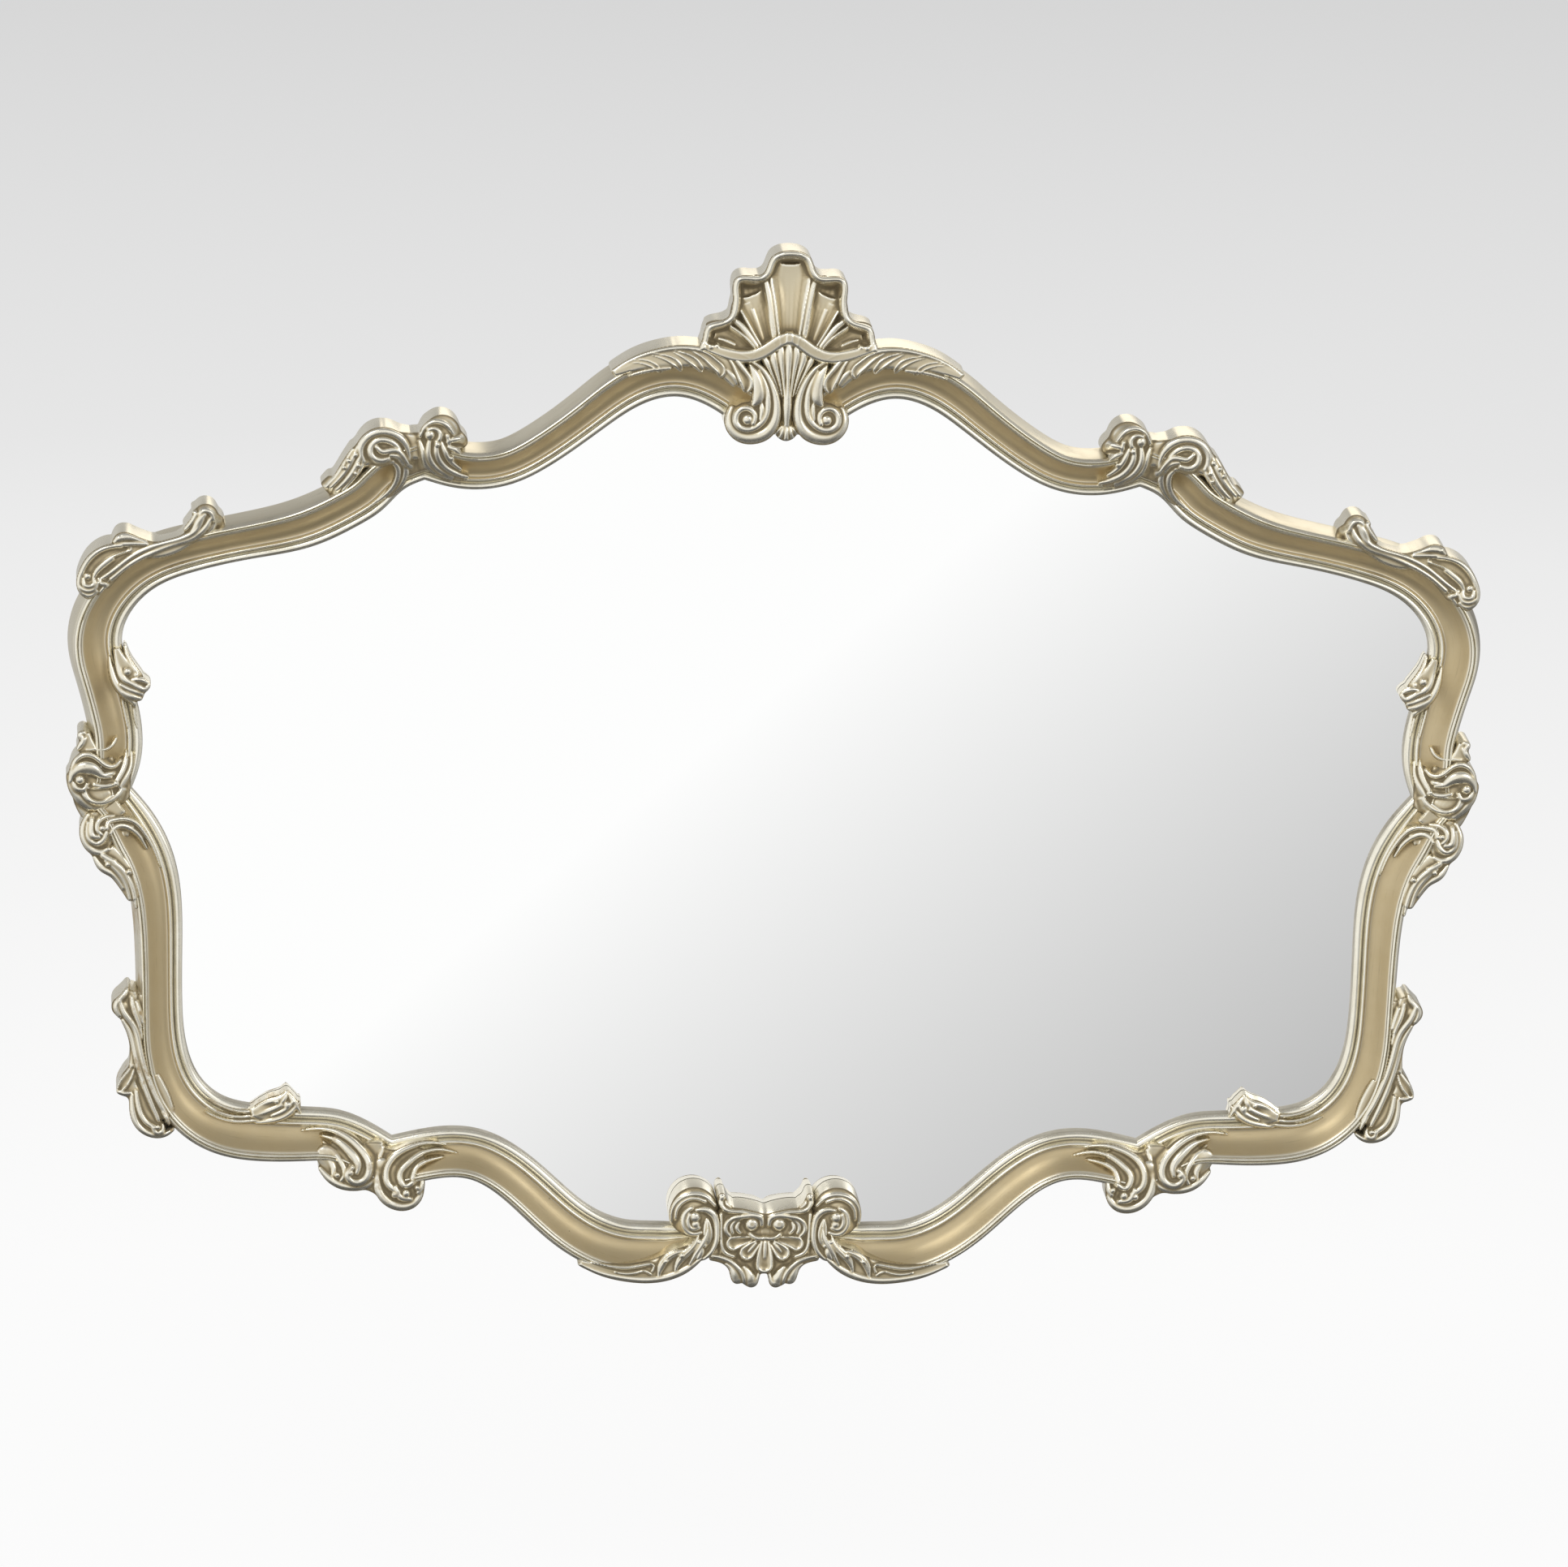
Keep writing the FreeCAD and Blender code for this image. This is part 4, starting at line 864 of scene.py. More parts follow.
class Carving:
    """A carving drawn on the front sheet in millimetres: strokes that melt together into one relief.

    shift moves it on the sheet, fill lifts its pads and melt is how softly heights run together; ground is
    how deep its cuts may go, flare how far its foot stands out below and back where its flat back lies.
    """

    def __init__(self, shift=(0, 0), fill=2.5, melt=0.5, ground=2.8, flare=2.0, back=0.4):
        self.marks = []
        self.shift, self.fill, self.melt = shift, fill, melt
        self.ground, self.flare, self.back = ground, flare, back

    def stroke(self, rows, form="roll", deep=None):
        """A worked ridge: rows are x, z, half width and top. Without a depth it is drawn a little wider."""
        rows = smooth_rows(rows)
        rows[:, 2] = np.maximum(rows[:, 2] + WIDENED * (deep is None), LEAST_HALF)
        self.marks.append((rows, form, deep))

    def strokes(self, *lines, form="roll", deep=None):
        """Several ridges of one kind."""
        for rows in lines:
            self.stroke(rows, form, deep)

    def pad(self, rows, top, form="flat", crown=3.0):
        """A plain ground under the strokes: rows are x, z and half width."""
        self.stroke([(x, z, wide, top + self.fill) for x, z, wide in rows], form, crown)

    def ball(self, x, z, radius, top, tall=1.0):
        """A round boss of that radius, its highest point at top."""
        rows = np.array([(x, z, radius, top), (x + 0.01, z, radius, top)])
        self.marks.append((rows, "ball", radius * tall))
        return self

    def sheet(self, both):
        """The grid of the sheet with the relief's height and its distance from the outline."""
        marks = list(self.marks)
        if both:
            marks += [(rows * (-1.0, 1.0, 1.0, 1.0), form, deep) for rows, form, deep in self.marks]
        every = np.concatenate([rows for rows, _, _ in marks])
        low = (every[:, :2] - every[:, 2:3]).min(axis=0) - 2.5
        high = (every[:, :2] + every[:, 2:3]).max(axis=0) + 2.5
        if both:
            low[0] = -high[0]
        count = np.ceil((high - low) / GRID).astype(int) + 1
        lines = [np.linspace(low[axis], high[axis], count[axis]) for axis in (0, 1)]
        x, z = np.meshgrid(*lines, indexing="ij")
        heap, reach = np.full(x.shape, 1e-30), np.full(x.shape, 1e-12)
        for rows, form, deep in marks:
            room = rows[:, 2].max() + 6.0
            i0, i1 = np.searchsorted(x[:, 0], [rows[:, 0].min() - room, rows[:, 0].max() + room])
            j0, j1 = np.searchsorted(z[0], [rows[:, 1].min() - room, rows[:, 1].max() + room])
            part = (slice(i0, i1), slice(j0, j1))
            far, wide, top = beside(rows, x[part], z[part], form in ("flat", "hollow"))
            depth = deep if deep else np.maximum(wide * 0.95, 1.2)
            share, lift = zip(*FORMS[form])
            height = top - depth * (1.0 - np.interp(far / wide, share, lift))
            fall = 1.5 if form in ("roll", "leaf") and not deep else 3.5
            height -= np.maximum(far - wide, 0.0) * fall
            heap[part] += np.exp((height - SHEET_HEIGHT) / self.melt)
            reach[part] += np.exp(np.clip((wide - far) / SOFT_SIDE, -40, 60))
        height, off = SHEET_HEIGHT + self.melt * np.log(heap), -SOFT_SIDE * np.log(reach)
        return x, z, np.minimum(height, HIGHEST), off

    def fused(self, name, both=False):
        """The relief as one closed mesh, with how hollow each point lies."""
        x, z, height, off = self.sheet(both)
        mask = off < 0.2 * GRID
        mask |= enclosed(mask)
        off = np.minimum(off, np.where(mask, 1.6 * GRID - inward(mask, GRID, 10), off))
        floor = blurred(closed_up(height, 7), mask, 5) - self.ground
        floor = np.maximum(floor, blurred(np.maximum(height, 14.0), mask, 50) - 6.0)
        height = blurred(np.logaddexp(height / 0.6, floor / 0.6) * 0.6, mask, 1)
        # how far each point lies below its near and broad neighbours: the carving material paints shade and
        # dirt by these
        near, broad = blurred(height, mask, 6) - height, blurred(height, mask, 40) - height
        round_off = np.clip(off / RIM + 1.0, 0, 1)
        cut = np.clip(0.5 + near * 0.9 - round_off * 0.12, 0, 1)
        hollow = np.clip(0.5 + broad * 0.35, 0, 1)
        cells = whole_cells(mask)
        room = np.pad(cells, 1).astype(int)
        corners = room[:-1, :-1] + room[1:, :-1] + room[:-1, 1:] + room[1:, 1:]
        used, edge = corners > 0, (corners > 0) & (corners < 4)
        round_off[edge] = 1.0
        height = np.minimum(height, HIGHEST) - RIM_DROP * (1.0 - np.sqrt(1.0 - round_off ** 2 * 0.97))
        slope = np.stack(np.gradient(off, GRID), axis=0)
        slope_size = np.maximum((slope ** 2).sum(axis=0), 0.25)
        move = np.clip(off / slope_size, -GRID, GRID)
        x, z = np.where(edge, x - move * slope[0], x), np.where(edge, z - move * slope[1], z)
        out = slope / np.sqrt(slope_size)
        lean = np.where(edge, self.flare * np.clip(out[1], 0, 1) ** 2, 0.0) * out
        start, end = bare_sides(cells)
        for turn in range(FLARE_ROUNDS):
            for line in (x, z, height, *lean) if turn < BORDER_ROUNDS else lean:
                draw_out(line, edge, start, end)
        x = x + self.shift[0]
        true_z = z + self.shift[1] + (height - SHEET_HEIGHT) * SHEET_RISE - SHEET_DROP
        foot = np.full(x.shape, self.back)
        foot[used] = np.where(sight_distance(x[used], true_z[used]) < GLASS_REACH, GLASS_FOOT, self.back)
        height = np.maximum(height, foot + LEAST_WALL)
        levels = [(height[used], used, 0.0), (height[edge] - 1.0, edge, 0.08),
                  (height[edge] - 3.0, edge, 0.3), (foot[used], used, 1.0)]
        points = np.concatenate([np.stack([(x + lean[0] * share)[of], -(WALL_GAP + level),
                                           (true_z + lean[1] * share)[of]], axis=1)
                                 for level, of, share in levels]) * MM
        mesh = bpy.data.meshes.new(name)
        mesh.from_pydata(points.tolist(), [], skin_faces(cells, used, edge, start, end))
        for title, values, walls in (("cut", cut, 0.42), ("hollow", hollow, 0.5)):
            values = np.concatenate([values[used], np.minimum(values[edge], walls),
                                     np.full(edge.sum() + used.sum(), walls)]).astype(np.float32)
            mesh.attributes.new(title, "FLOAT", "POINT").data.foreach_set("value", values)
        mesh.polygons.foreach_set("use_smooth", np.ones(len(mesh.polygons), bool))
        mesh.set_sharp_from_angle(angle=radians(70))
        return mesh


def carve_pair(name, work):
    """A right-hand carving and its mirror image, each in place of its node."""
    placed_pair(f"{name}_carving", name, work.fused(f"{name}_carving"), carving)


def carve_middle(name, work):
    """A carving on the middle line, drawn by its right half, in place of its node."""
    mesh = work.fused(f"{name}_carving", both=True)
    placed(f"{name}_carving", mesh, carving, stands_for=[name])


# Carvings

def crest_shell():
    """The scalloped shell: five smooth hollow flutes in a thin rolled rim, over a plain bent band."""
    work = Carving(fill=0.0, ground=12.0, melt=0.9, flare=0.9)
    rim = [(-6, 466.4), (0, 466.8), (7, 466.2), (13, 463.5), (16.6, 457.5), (19.2, 450.5), (24, 446),
           (31, 445), (39, 445.4), (44, 444), (46, 439), (45.6, 430), (45.8, 420), (48.8, 411.5), (55, 407),
           (63, 404.6), (68.4, 401.6), (70, 396), (71.4, 390), (74, 384)]
    work.pad([(0, 392, 13), (0, 430, 16), (0, 459, 12)], 24)
    work.pad([(12, 388, 14), (24, 416, 17), (31, 432, 14)], 24)
    work.pad([(24, 384, 10), (38, 406, 12), (41, 424, 8)], 24)
    work.pad([(30, 382, 8), (50, 389, 11), (64, 395, 8)], 24)
    # a web behind the leaves
    work.pad([(0, 382, 22), (22, 378, 20), (42, 379, 17), (60, 384, 12), (72, 389, 8)], 12)
    work.strokes(
        [(0, 388, 7.5, 34.4), (0, 410, 11, 34), (0, 435, 15, 31), (0, 452, 17.5, 27.5), (0, 463, 16, 24)],
        [(17, 386, 4.8, 34.4), (24, 404, 8.6, 33.6), (30.5, 423, 12.6, 30), (35, 436, 13.6, 26),
         (37, 443, 10.5, 24)],
        [(30, 380, 4.4, 34.4), (42, 389, 8, 33.6), (54, 396, 10, 30.5), (63, 400, 9.4, 27),
         (68, 401, 6, 25)],
        form="hollow", deep=8)
    work.strokes(
        [(11.5, 392, 2, 34.4), (14.5, 412, 2.6, 33.6), (18, 432, 2.8, 31.6), (21, 445, 2.2, 30)],
        [(24.5, 384, 1.6, 34.4), (32, 394, 2.4, 33.6), (41, 405, 2.6, 32), (48, 410.5, 2, 31)],
        deep=2.2)
    work.strokes(
        [(20, 387, 1.2, 28.5), (25.6, 404, 1.7, 26.8), (31, 419, 1.2, 25)],
        [(25, 386, 1.2, 29), (31.4, 401, 1.6, 27.4), (37, 413, 1.1, 26)],
        [(46, 388.6, 1, 29), (53, 391.8, 1.4, 27.6), (59, 393.6, 0.9, 26.4)])
    work.stroke([(x, z, 2.9, 35.0) for x, z in rim], "roll", 3.6)
    work.stroke([(-3, 394.4, 5.2, 36.6), (3, 393.4, 5.2, 36.6), (12, 388.6, 5.4, 36.4),
                 (22, 381.8, 5.4, 36.2), (33, 378.2, 5.2, 36), (46, 378.6, 5, 35.8), (60, 382.4, 4.4, 35.4),
                 (75, 387.4, 3.2, 34.6)], "flat", 3.2)
    for x, z, size in ((72.4, 385, 2.4), (66.4, 386, 2.0), (61.0, 387.2, 1.6)):
        work.ball(x, z, size, 35.6)
    carve_middle("crest_shell", work)


def crest_palmette():
    """The fan of petals under the shell that draws together into a smooth keel and a small fluted drop."""
    work = Carving(fill=0.0, back=1.6)
    work.pad([(0, 388, 16), (0, 374, 15), (0, 360, 11), (0, 340, 7), (0, 324, 5.5), (0, 319, 6)], 28.4)
    work.pad([(0, 319, 6.5), (0, 315.4, 9.4)], 28.4, "roll", 5)
    work.strokes(
        [(0, 392, 0.8, 34), (0, 385, 3, 35), (0, 372, 3, 35.4), (0, 358, 1.9, 34.6), (0, 342, 1, 33.4)],
        [(6.4, 389.6, 0.8, 33.6), (6.6, 384, 3, 34.6), (5.6, 372, 2.8, 35), (3.8, 358, 1.6, 34),
         (2.6, 342, 0.8, 33)],
        [(13.6, 386, 0.8, 33.2), (13.2, 380.6, 3, 34.2), (11, 370, 2.7, 34.4), (7.4, 357, 1.5, 33.4),
         (4.8, 344, 0.7, 32.6)],
        [(21.6, 380.6, 0.8, 32.8), (19.8, 376, 2.8, 33.6), (16.4, 368, 2.4, 33.6), (11, 356, 1.3, 32.8),
         (7, 345, 0.6, 32)],
        deep=2.2)
    work.stroke([(0, 354, 3, 33), (0, 342, 4.6, 33.8), (0, 330, 4.6, 33.4), (0, 320, 3.6, 32)], "roll", 4.6)
    work.strokes(
        [(0, 318, 0.8, 31.4), (0, 312, 1.6, 32.2), (0, 307.4, 1.2, 31.4)],
        [(2.2, 318, 0.6, 31), (3.9, 312.4, 1.4, 31.8), (4.9, 309, 1.1, 31)],
        [(3.8, 318.4, 0.5, 30.4), (6.8, 314.6, 1.2, 31), (8.6, 312.2, 0.9, 30.2)])
    carve_middle("crest_palmette", work)


def crest_scroll():
    """The scroll beside the palmette: a broad band that winds in to a raised eye, with two tongues in it."""
    work = Carving(fill=0.0, back=2.2)
    work.pad([(33, 324, 15), (31, 322, 17), (29, 324, 15)], 30, "roll", 5)
    work.pad([(24, 326, 12), (19, 345, 10), (25, 360, 9), (33, 369, 5)], 31.6)
    work.stroke([(47, 334, 3, 30.5), (48.6, 325, 4.6, 32.5), (45.4, 315.4, 5.4, 33.6),
                 (37.6, 309, 5.6, 34.4), (27.6, 308, 5.6, 35), (17.4, 312, 5.4, 35.6), (10.8, 321, 4.8, 36),
                 (9, 334, 4, 36), (11.4, 348, 3.4, 36), (17.4, 361, 2.8, 36), (26.4, 371, 2, 35.5),
                 (34, 375, 0.8, 35)], "roll", 4.6)
    work.stroke([(25, 366, 0.8, 35), (18.6, 352, 1.8, 36), (16.6, 338, 2.2, 36.5), (18.4, 326, 2.2, 36.5),
                 (25, 318, 2.2, 36.5), (34, 314.8, 2.3, 36.5), (42, 318.6, 2.4, 36.4),
                 (43.4, 327, 2.2, 36.4), (38, 333, 2, 36.6), (31, 332, 1.9, 37), (27.4, 326, 1.7, 37.2),
                 (29, 320, 1.4, 37.4)], "roll")
    work.ball(33.6, 323.4, 5, 37.7, 0.9)
    work.stroke([(33, 371, 1.4, 35), (28.4, 363, 4, 36.6), (25, 351, 5.6, 37.3), (25.4, 342, 5.4, 37.2),
                 (28.6, 336.8, 2.6, 36)], "roll", 4)
    work.stroke([(22.6, 340, 1.2, 35), (21.6, 331, 2.6, 36), (23, 324, 1.6, 36)], "roll", 2.4)
    carve_pair("crest_scroll", work)


def crest_leaf():
    """The leaf that runs from the shell's foot out along the top rail, lobe by lobe."""
    work = Carving(fill=1.4, back=1.1)
    work.pad([(40, 357, 9), (56, 370, 9), (76, 377, 9), (98, 377, 9), (122, 372, 6), (148, 362, 3)], 31.8)
    work.strokes(
        [(52, 379, 1.2, 35.5), (46, 374, 3.6, 36), (39, 363, 5.4, 36.3), (35.5, 353, 4.6, 36.2),
         (36, 348, 2, 35.5)],
        [(82, 383, 1, 34.5), (72, 379, 3.2, 35.3), (62, 371, 4.4, 35.6), (57, 364, 3.4, 35.4),
         (58, 361, 1.6, 34.8)],
        [(98, 382, 0.8, 34.2), (89, 378.5, 2.6, 34.8), (79, 372, 3.6, 35), (74, 366, 2.4, 34.6)],
        [(116, 379, 0.8, 34), (106, 377, 2.2, 34.4), (95, 371, 3, 34.6), (91, 366, 1.8, 34.2)],
        [(136, 372, 0.7, 33.6), (126, 373, 1.9, 34), (114, 369, 2.4, 34.2), (108, 364, 1.4, 33.8)],
        form="blade", deep=3.2)
    work.strokes(
        [(52, 366, 0.8, 34), (47, 361, 1.7, 34.8), (43, 354, 0.9, 34)],
        [(75, 384, 2, 34.4), (92, 385, 1.9, 34.2), (112, 382, 1.6, 34), (132, 375, 1.2, 33.5),
         (150, 364, 0.8, 32.8)],
        [(48, 379, 0.8, 35), (38, 367, 1.2, 36.5), (30.5, 353, 1.2, 36.5), (33, 348, 0.9, 36)],
        [(100, 367, 0.8, 33.5), (118, 365, 1.2, 33.6), (136, 360, 0.7, 33)])
    carve_pair("crest_leaf", work)


def upper_clasp():
    """Two scrolls over the joint: a hooded boss inside, a curled leaf outside, reeds into the moulding."""
    work = Carving((0.0, 5.5))
    work.pad([(391, 263, 5), (384, 256, 6.5), (376, 249, 5)], 21)
    work.pad([(292, 302, 11), (293, 296, 12), (300, 288, 9)], 29, "roll")
    work.pad([(301, 283, 10), (292, 275, 9), (281, 269, 6)], 24)
    work.pad([(346, 289, 12), (332, 292, 12), (318, 292, 11), (306, 290, 9)], 27)
    work.pad([(352, 290, 12), (364, 280, 9), (376, 266, 6)], 30)
    work.ball(292, 304.5, 15.4, 34.5)
    work.stroke([(317, 303, 9, 27.5), (316, 292, 10, 28), (315, 281, 11, 25.5), (312, 270.5, 11, 21.5)],
                "flat", 3)
    work.pad([(276, 297, 6), (281, 300, 8)], 24, "roll")
    work.strokes(
        [(311, 301, 1, 33), (307, 309, 1.7, 35), (298, 313.4, 1.9, 36), (289, 310.5, 1.7, 36),
         (283, 303, 1, 34.5)],
        [(288, 301, 1.3, 36.4), (286.6, 294.5, 1.2, 35)],
        [(304, 306.5, 1, 37), (298, 307, 1.4, 37.4), (294, 302.5, 1.4, 37.6), (295, 298, 1.2, 37.4)],
        [(311, 296, 1.2, 33), (308.5, 287, 2, 34), (306, 278, 2, 32), (298, 270, 2, 28),
         (284, 264.5, 1.6, 23)],
        [(303, 297, 1.4, 35), (304, 287, 2.2, 35), (299, 276, 2.2, 32), (289, 269, 2, 28),
         (275, 264, 1.6, 23)],
        [(297, 296, 1.4, 36), (297, 287, 2.2, 36), (292, 277, 2.2, 33), (282, 270, 2, 29),
         (270, 266.5, 1.5, 24)],
        [(293, 295, 1.2, 35.5), (289, 286, 2, 35.5), (284, 279, 2, 33), (276, 273, 1.4, 29)],
        [(288, 296, 1, 35), (283, 298, 2, 35.5), (278, 299, 1.2, 34)],
        [(287, 292, 1.2, 34.5), (281, 289, 2.3, 35), (277, 286, 1.3, 33)])
    work.ball(303, 302, 4.6, 37.4, 0.9).ball(296.5, 293.5, 2.5, 37.5).ball(283.5, 282, 2.2, 34.5)
    work.strokes(
        [(320, 280, 1, 30), (322, 291, 2.4, 33), (331, 301, 3.4, 35), (345, 304, 3.8, 36),
         (356, 299, 3.6, 36), (361.5, 289, 3, 35.5), (359, 279, 1.8, 34)],
        [(327, 280, 1, 33), (329, 289, 2, 35), (337, 296, 2.4, 36.5), (347, 296.5, 2.5, 37),
         (353, 290, 2.4, 37.2), (351, 282.5, 2.2, 37), (344, 279.5, 2, 36.5), (338, 281, 1.2, 36)],
        [(348, 291, 1.2, 37.4), (343, 287, 2, 37.2), (338, 287.5, 2.2, 37), (331, 288, 2, 36),
         (325, 283, 1.7, 34.5), (321, 277, 1, 32)],
        [(336, 284, 1, 35.5), (330, 283, 1.5, 35), (325, 277.5, 1, 32)],
        [(362, 278, 1, 29), (352, 275, 1.6, 31), (343, 276, 1.8, 32), (334, 279, 1.2, 32)],
        [(338, 280, 1.4, 31), (331, 276, 2.4, 30), (329.5, 266, 2.5, 26), (335, 255, 2.3, 21),
         (347, 244, 1.6, 17.5)],
        [(326, 281, 1.2, 30), (322.5, 271, 2.2, 27), (326, 260, 2.2, 22), (336, 249, 1.8, 17)])
    work.strokes(
        [(364, 291, 1, 34), (368, 281, 2.1, 35), (374, 270, 2.1, 34.5), (386, 256, 0.9, 33)],
        [(360, 287, 1, 34), (364, 277, 2, 35), (370, 266, 2, 34.5), (381, 254, 0.9, 33)],
        [(368, 289, 0.9, 33.5), (374, 278, 1.8, 34), (380, 268, 1.6, 33.5), (390, 256, 0.8, 32.5)],
        [(359, 281, 0.9, 33), (361, 273, 1.6, 34), (366, 265, 1.6, 33.5), (375, 254, 0.8, 32.5)])
    for x, z, size in ((365.5, 284, 1.9), (371.5, 279, 1.8), (363, 275, 1.7), (375, 273, 1.5),
                       (365, 268, 1.4)):
        work.ball(x, z, size, 36)
    carve_pair("upper_clasp", work)


def shoulder_leaf():
    """The long leaf over the shoulder: hooked head, plain flared stem, a side lobe and a curled end."""
    work = Carving((3.0, 3.5))
    work.ball(488.5, 232, 10.6, 34)
    work.pad([(485, 232, 7), (489, 225, 9), (500, 217, 8)], 29)
    work.pad([(478, 222, 5), (480, 226, 8)], 22, "roll")
    work.pad([(497, 217, 6), (515, 205, 6), (535, 202, 7.5), (553, 207, 8)], 30)
    work.pad([(552, 212, 4.5), (554, 208, 6), (566, 199, 7), (578, 191, 9), (584, 181, 11), (586, 168, 8)],
             29)
    work.pad([(545, 201, 7), (558, 193, 8), (569, 183, 9), (577, 172, 8)], 28)
    work.strokes(
        [(494, 230, 1, 35), (493, 234, 1.6, 36), (488.5, 236.5, 1.7, 36.4), (483.5, 233.5, 1.6, 36),
         (482, 229, 1, 35)],
        [(499, 235, 1.4, 34.4), (497, 234, 1.7, 35.2), (498, 231, 1.6, 35.4), (501, 226, 1.8, 35),
         (506, 220, 1.4, 34)],
        [(489.5, 233, 1.2, 36), (494, 228, 3, 36.4), (497, 222, 2.6, 35.6), (503, 214, 1.4, 34)],
        [(484, 230, 1.2, 34.6), (489, 222, 1.7, 35), (499, 213, 2, 34.6), (511, 208.5, 2, 34.2),
         (526, 203, 1.9, 34), (541, 196, 1.8, 34), (556, 186.5, 1.7, 33.6), (568, 176.5, 1.3, 33)],
        [(491, 229, 1, 35.4), (496, 220, 1.6, 35.6), (506, 213.5, 1.8, 35), (522, 208.5, 1.8, 34.4),
         (540, 202, 1.7, 34.2), (555, 193, 1.6, 34.2), (566, 184, 1.6, 34.2), (577, 176, 1.2, 33.5)],
        [(486, 224, 1, 33.6), (492, 218.5, 1.8, 34.4), (498, 216, 1, 34)])
    work.strokes(
        [(539, 209, 0.9, 33.6), (549, 212, 2, 34.4), (557, 214.5, 2.4, 34.8), (563.5, 212.5, 1.6, 34.2),
         (565.5, 209, 1, 33.6)],
        [(538, 207, 0.9, 34), (551, 207.3, 1.5, 34.8), (561, 207.6, 1.6, 34.6), (566, 209, 1, 34)],
        [(548, 211, 1.2, 34), (556, 212.5, 2.8, 35.6), (562, 211.3, 2.4, 35.8), (565, 209, 1.2, 34.8)])
    work.stroke([(553, 203, 2.5, 34), (566, 201, 5.6, 35), (578, 195, 7.4, 35.2), (585, 186, 7.6, 35.4),
                 (587.5, 177, 5, 35)], "blade", 5)
    work.strokes(
        [(560, 205.5, 1.2, 35.2), (569, 204.5, 1.5, 35.6), (578, 201, 1.7, 35.8), (587, 193, 1.8, 36),
         (592.5, 183.5, 1.8, 36), (595.3, 173.5, 1.8, 35.6), (593, 165, 1.6, 35), (587, 160, 1.4, 34)],
        [(567, 194, 1, 34.6), (575, 188.5, 2.2, 35.6), (581, 182, 1.8, 35.6), (583, 177, 1, 35)],
        [(591.5, 176, 1, 36), (590.5, 171, 1.5, 36.8), (587, 169.7, 1.6, 37), (582.8, 171.6, 1.4, 36.6),
         (582, 175, 1, 36)],
        [(593.5, 169, 1, 35.6), (589, 166.2, 1.6, 36.4), (583.3, 167, 1.6, 36.2), (579.6, 173, 1.3, 35.4)],
        [(591, 163.5, 1.1, 34.8), (585, 162, 1.8, 35.4), (580.5, 165.5, 1.5, 35)],
        [(578.5, 176.5, 1, 34), (575.5, 172, 1.7, 34.8), (572.5, 172, 1.3, 34.4), (575.5, 167, 1.2, 33.8),
         (578, 163, 0.8, 33)])
    work.ball(588, 178.5, 3.4, 36.6).ball(562, 211.5, 2.8, 36.2)
    carve_pair("shoulder_leaf", work)


def side_leaf():
    """A small curled leaf on the sight edge of the side."""
    work = Carving((0.0, 4.0))
    work.pad([(566, 116, 3), (562, 104, 5.5), (556, 92, 9), (551, 80, 9.5), (549, 72, 5)], 19)
    work.strokes(
        [(572, 110, 1, 20), (569.5, 94, 2.6, 22.5), (562, 78.5, 3, 23.5), (550.5, 67.8, 1.8, 22)],
        [(566, 114, 1, 19.5), (564, 100, 2.4, 22), (557.5, 87.5, 2.6, 23.8), (550, 85, 1.4, 23)],
        [(559, 118, 1, 18.5), (555.5, 106, 2.2, 20.5), (549, 96, 2.2, 21.5), (544.8, 92, 1.2, 20.5)],
        [(556, 86, 1.2, 23), (548, 82.5, 2.4, 23.8), (542.5, 80, 2.4, 23), (537.6, 84, 1.1, 21.5)],
        [(552, 88, 1, 23), (545.5, 88.6, 2, 23.4), (538.8, 85.6, 1.1, 21.6)],
        [(560, 78, 1.2, 23.4), (552, 73.6, 2.6, 23.8), (545.6, 71.8, 1.6, 22)],
        [(562, 84, 1, 23.6), (553, 79, 2, 24), (544, 76, 1.3, 22.4)])
    work.ball(556.5, 95.5, 3.7, 24.2).ball(549, 92.5, 2, 22.6)
    work.strokes(
        [(561, 72, 1, 20.5), (558.6, 60, 1.3, 20), (555.6, 46, 1.1, 19.4)],
        [(551, 66, 1, 18.5), (549.6, 56, 1.3, 18.2), (547.5, 46, 0.9, 17.4)])
    carve_pair("side_leaf", work)


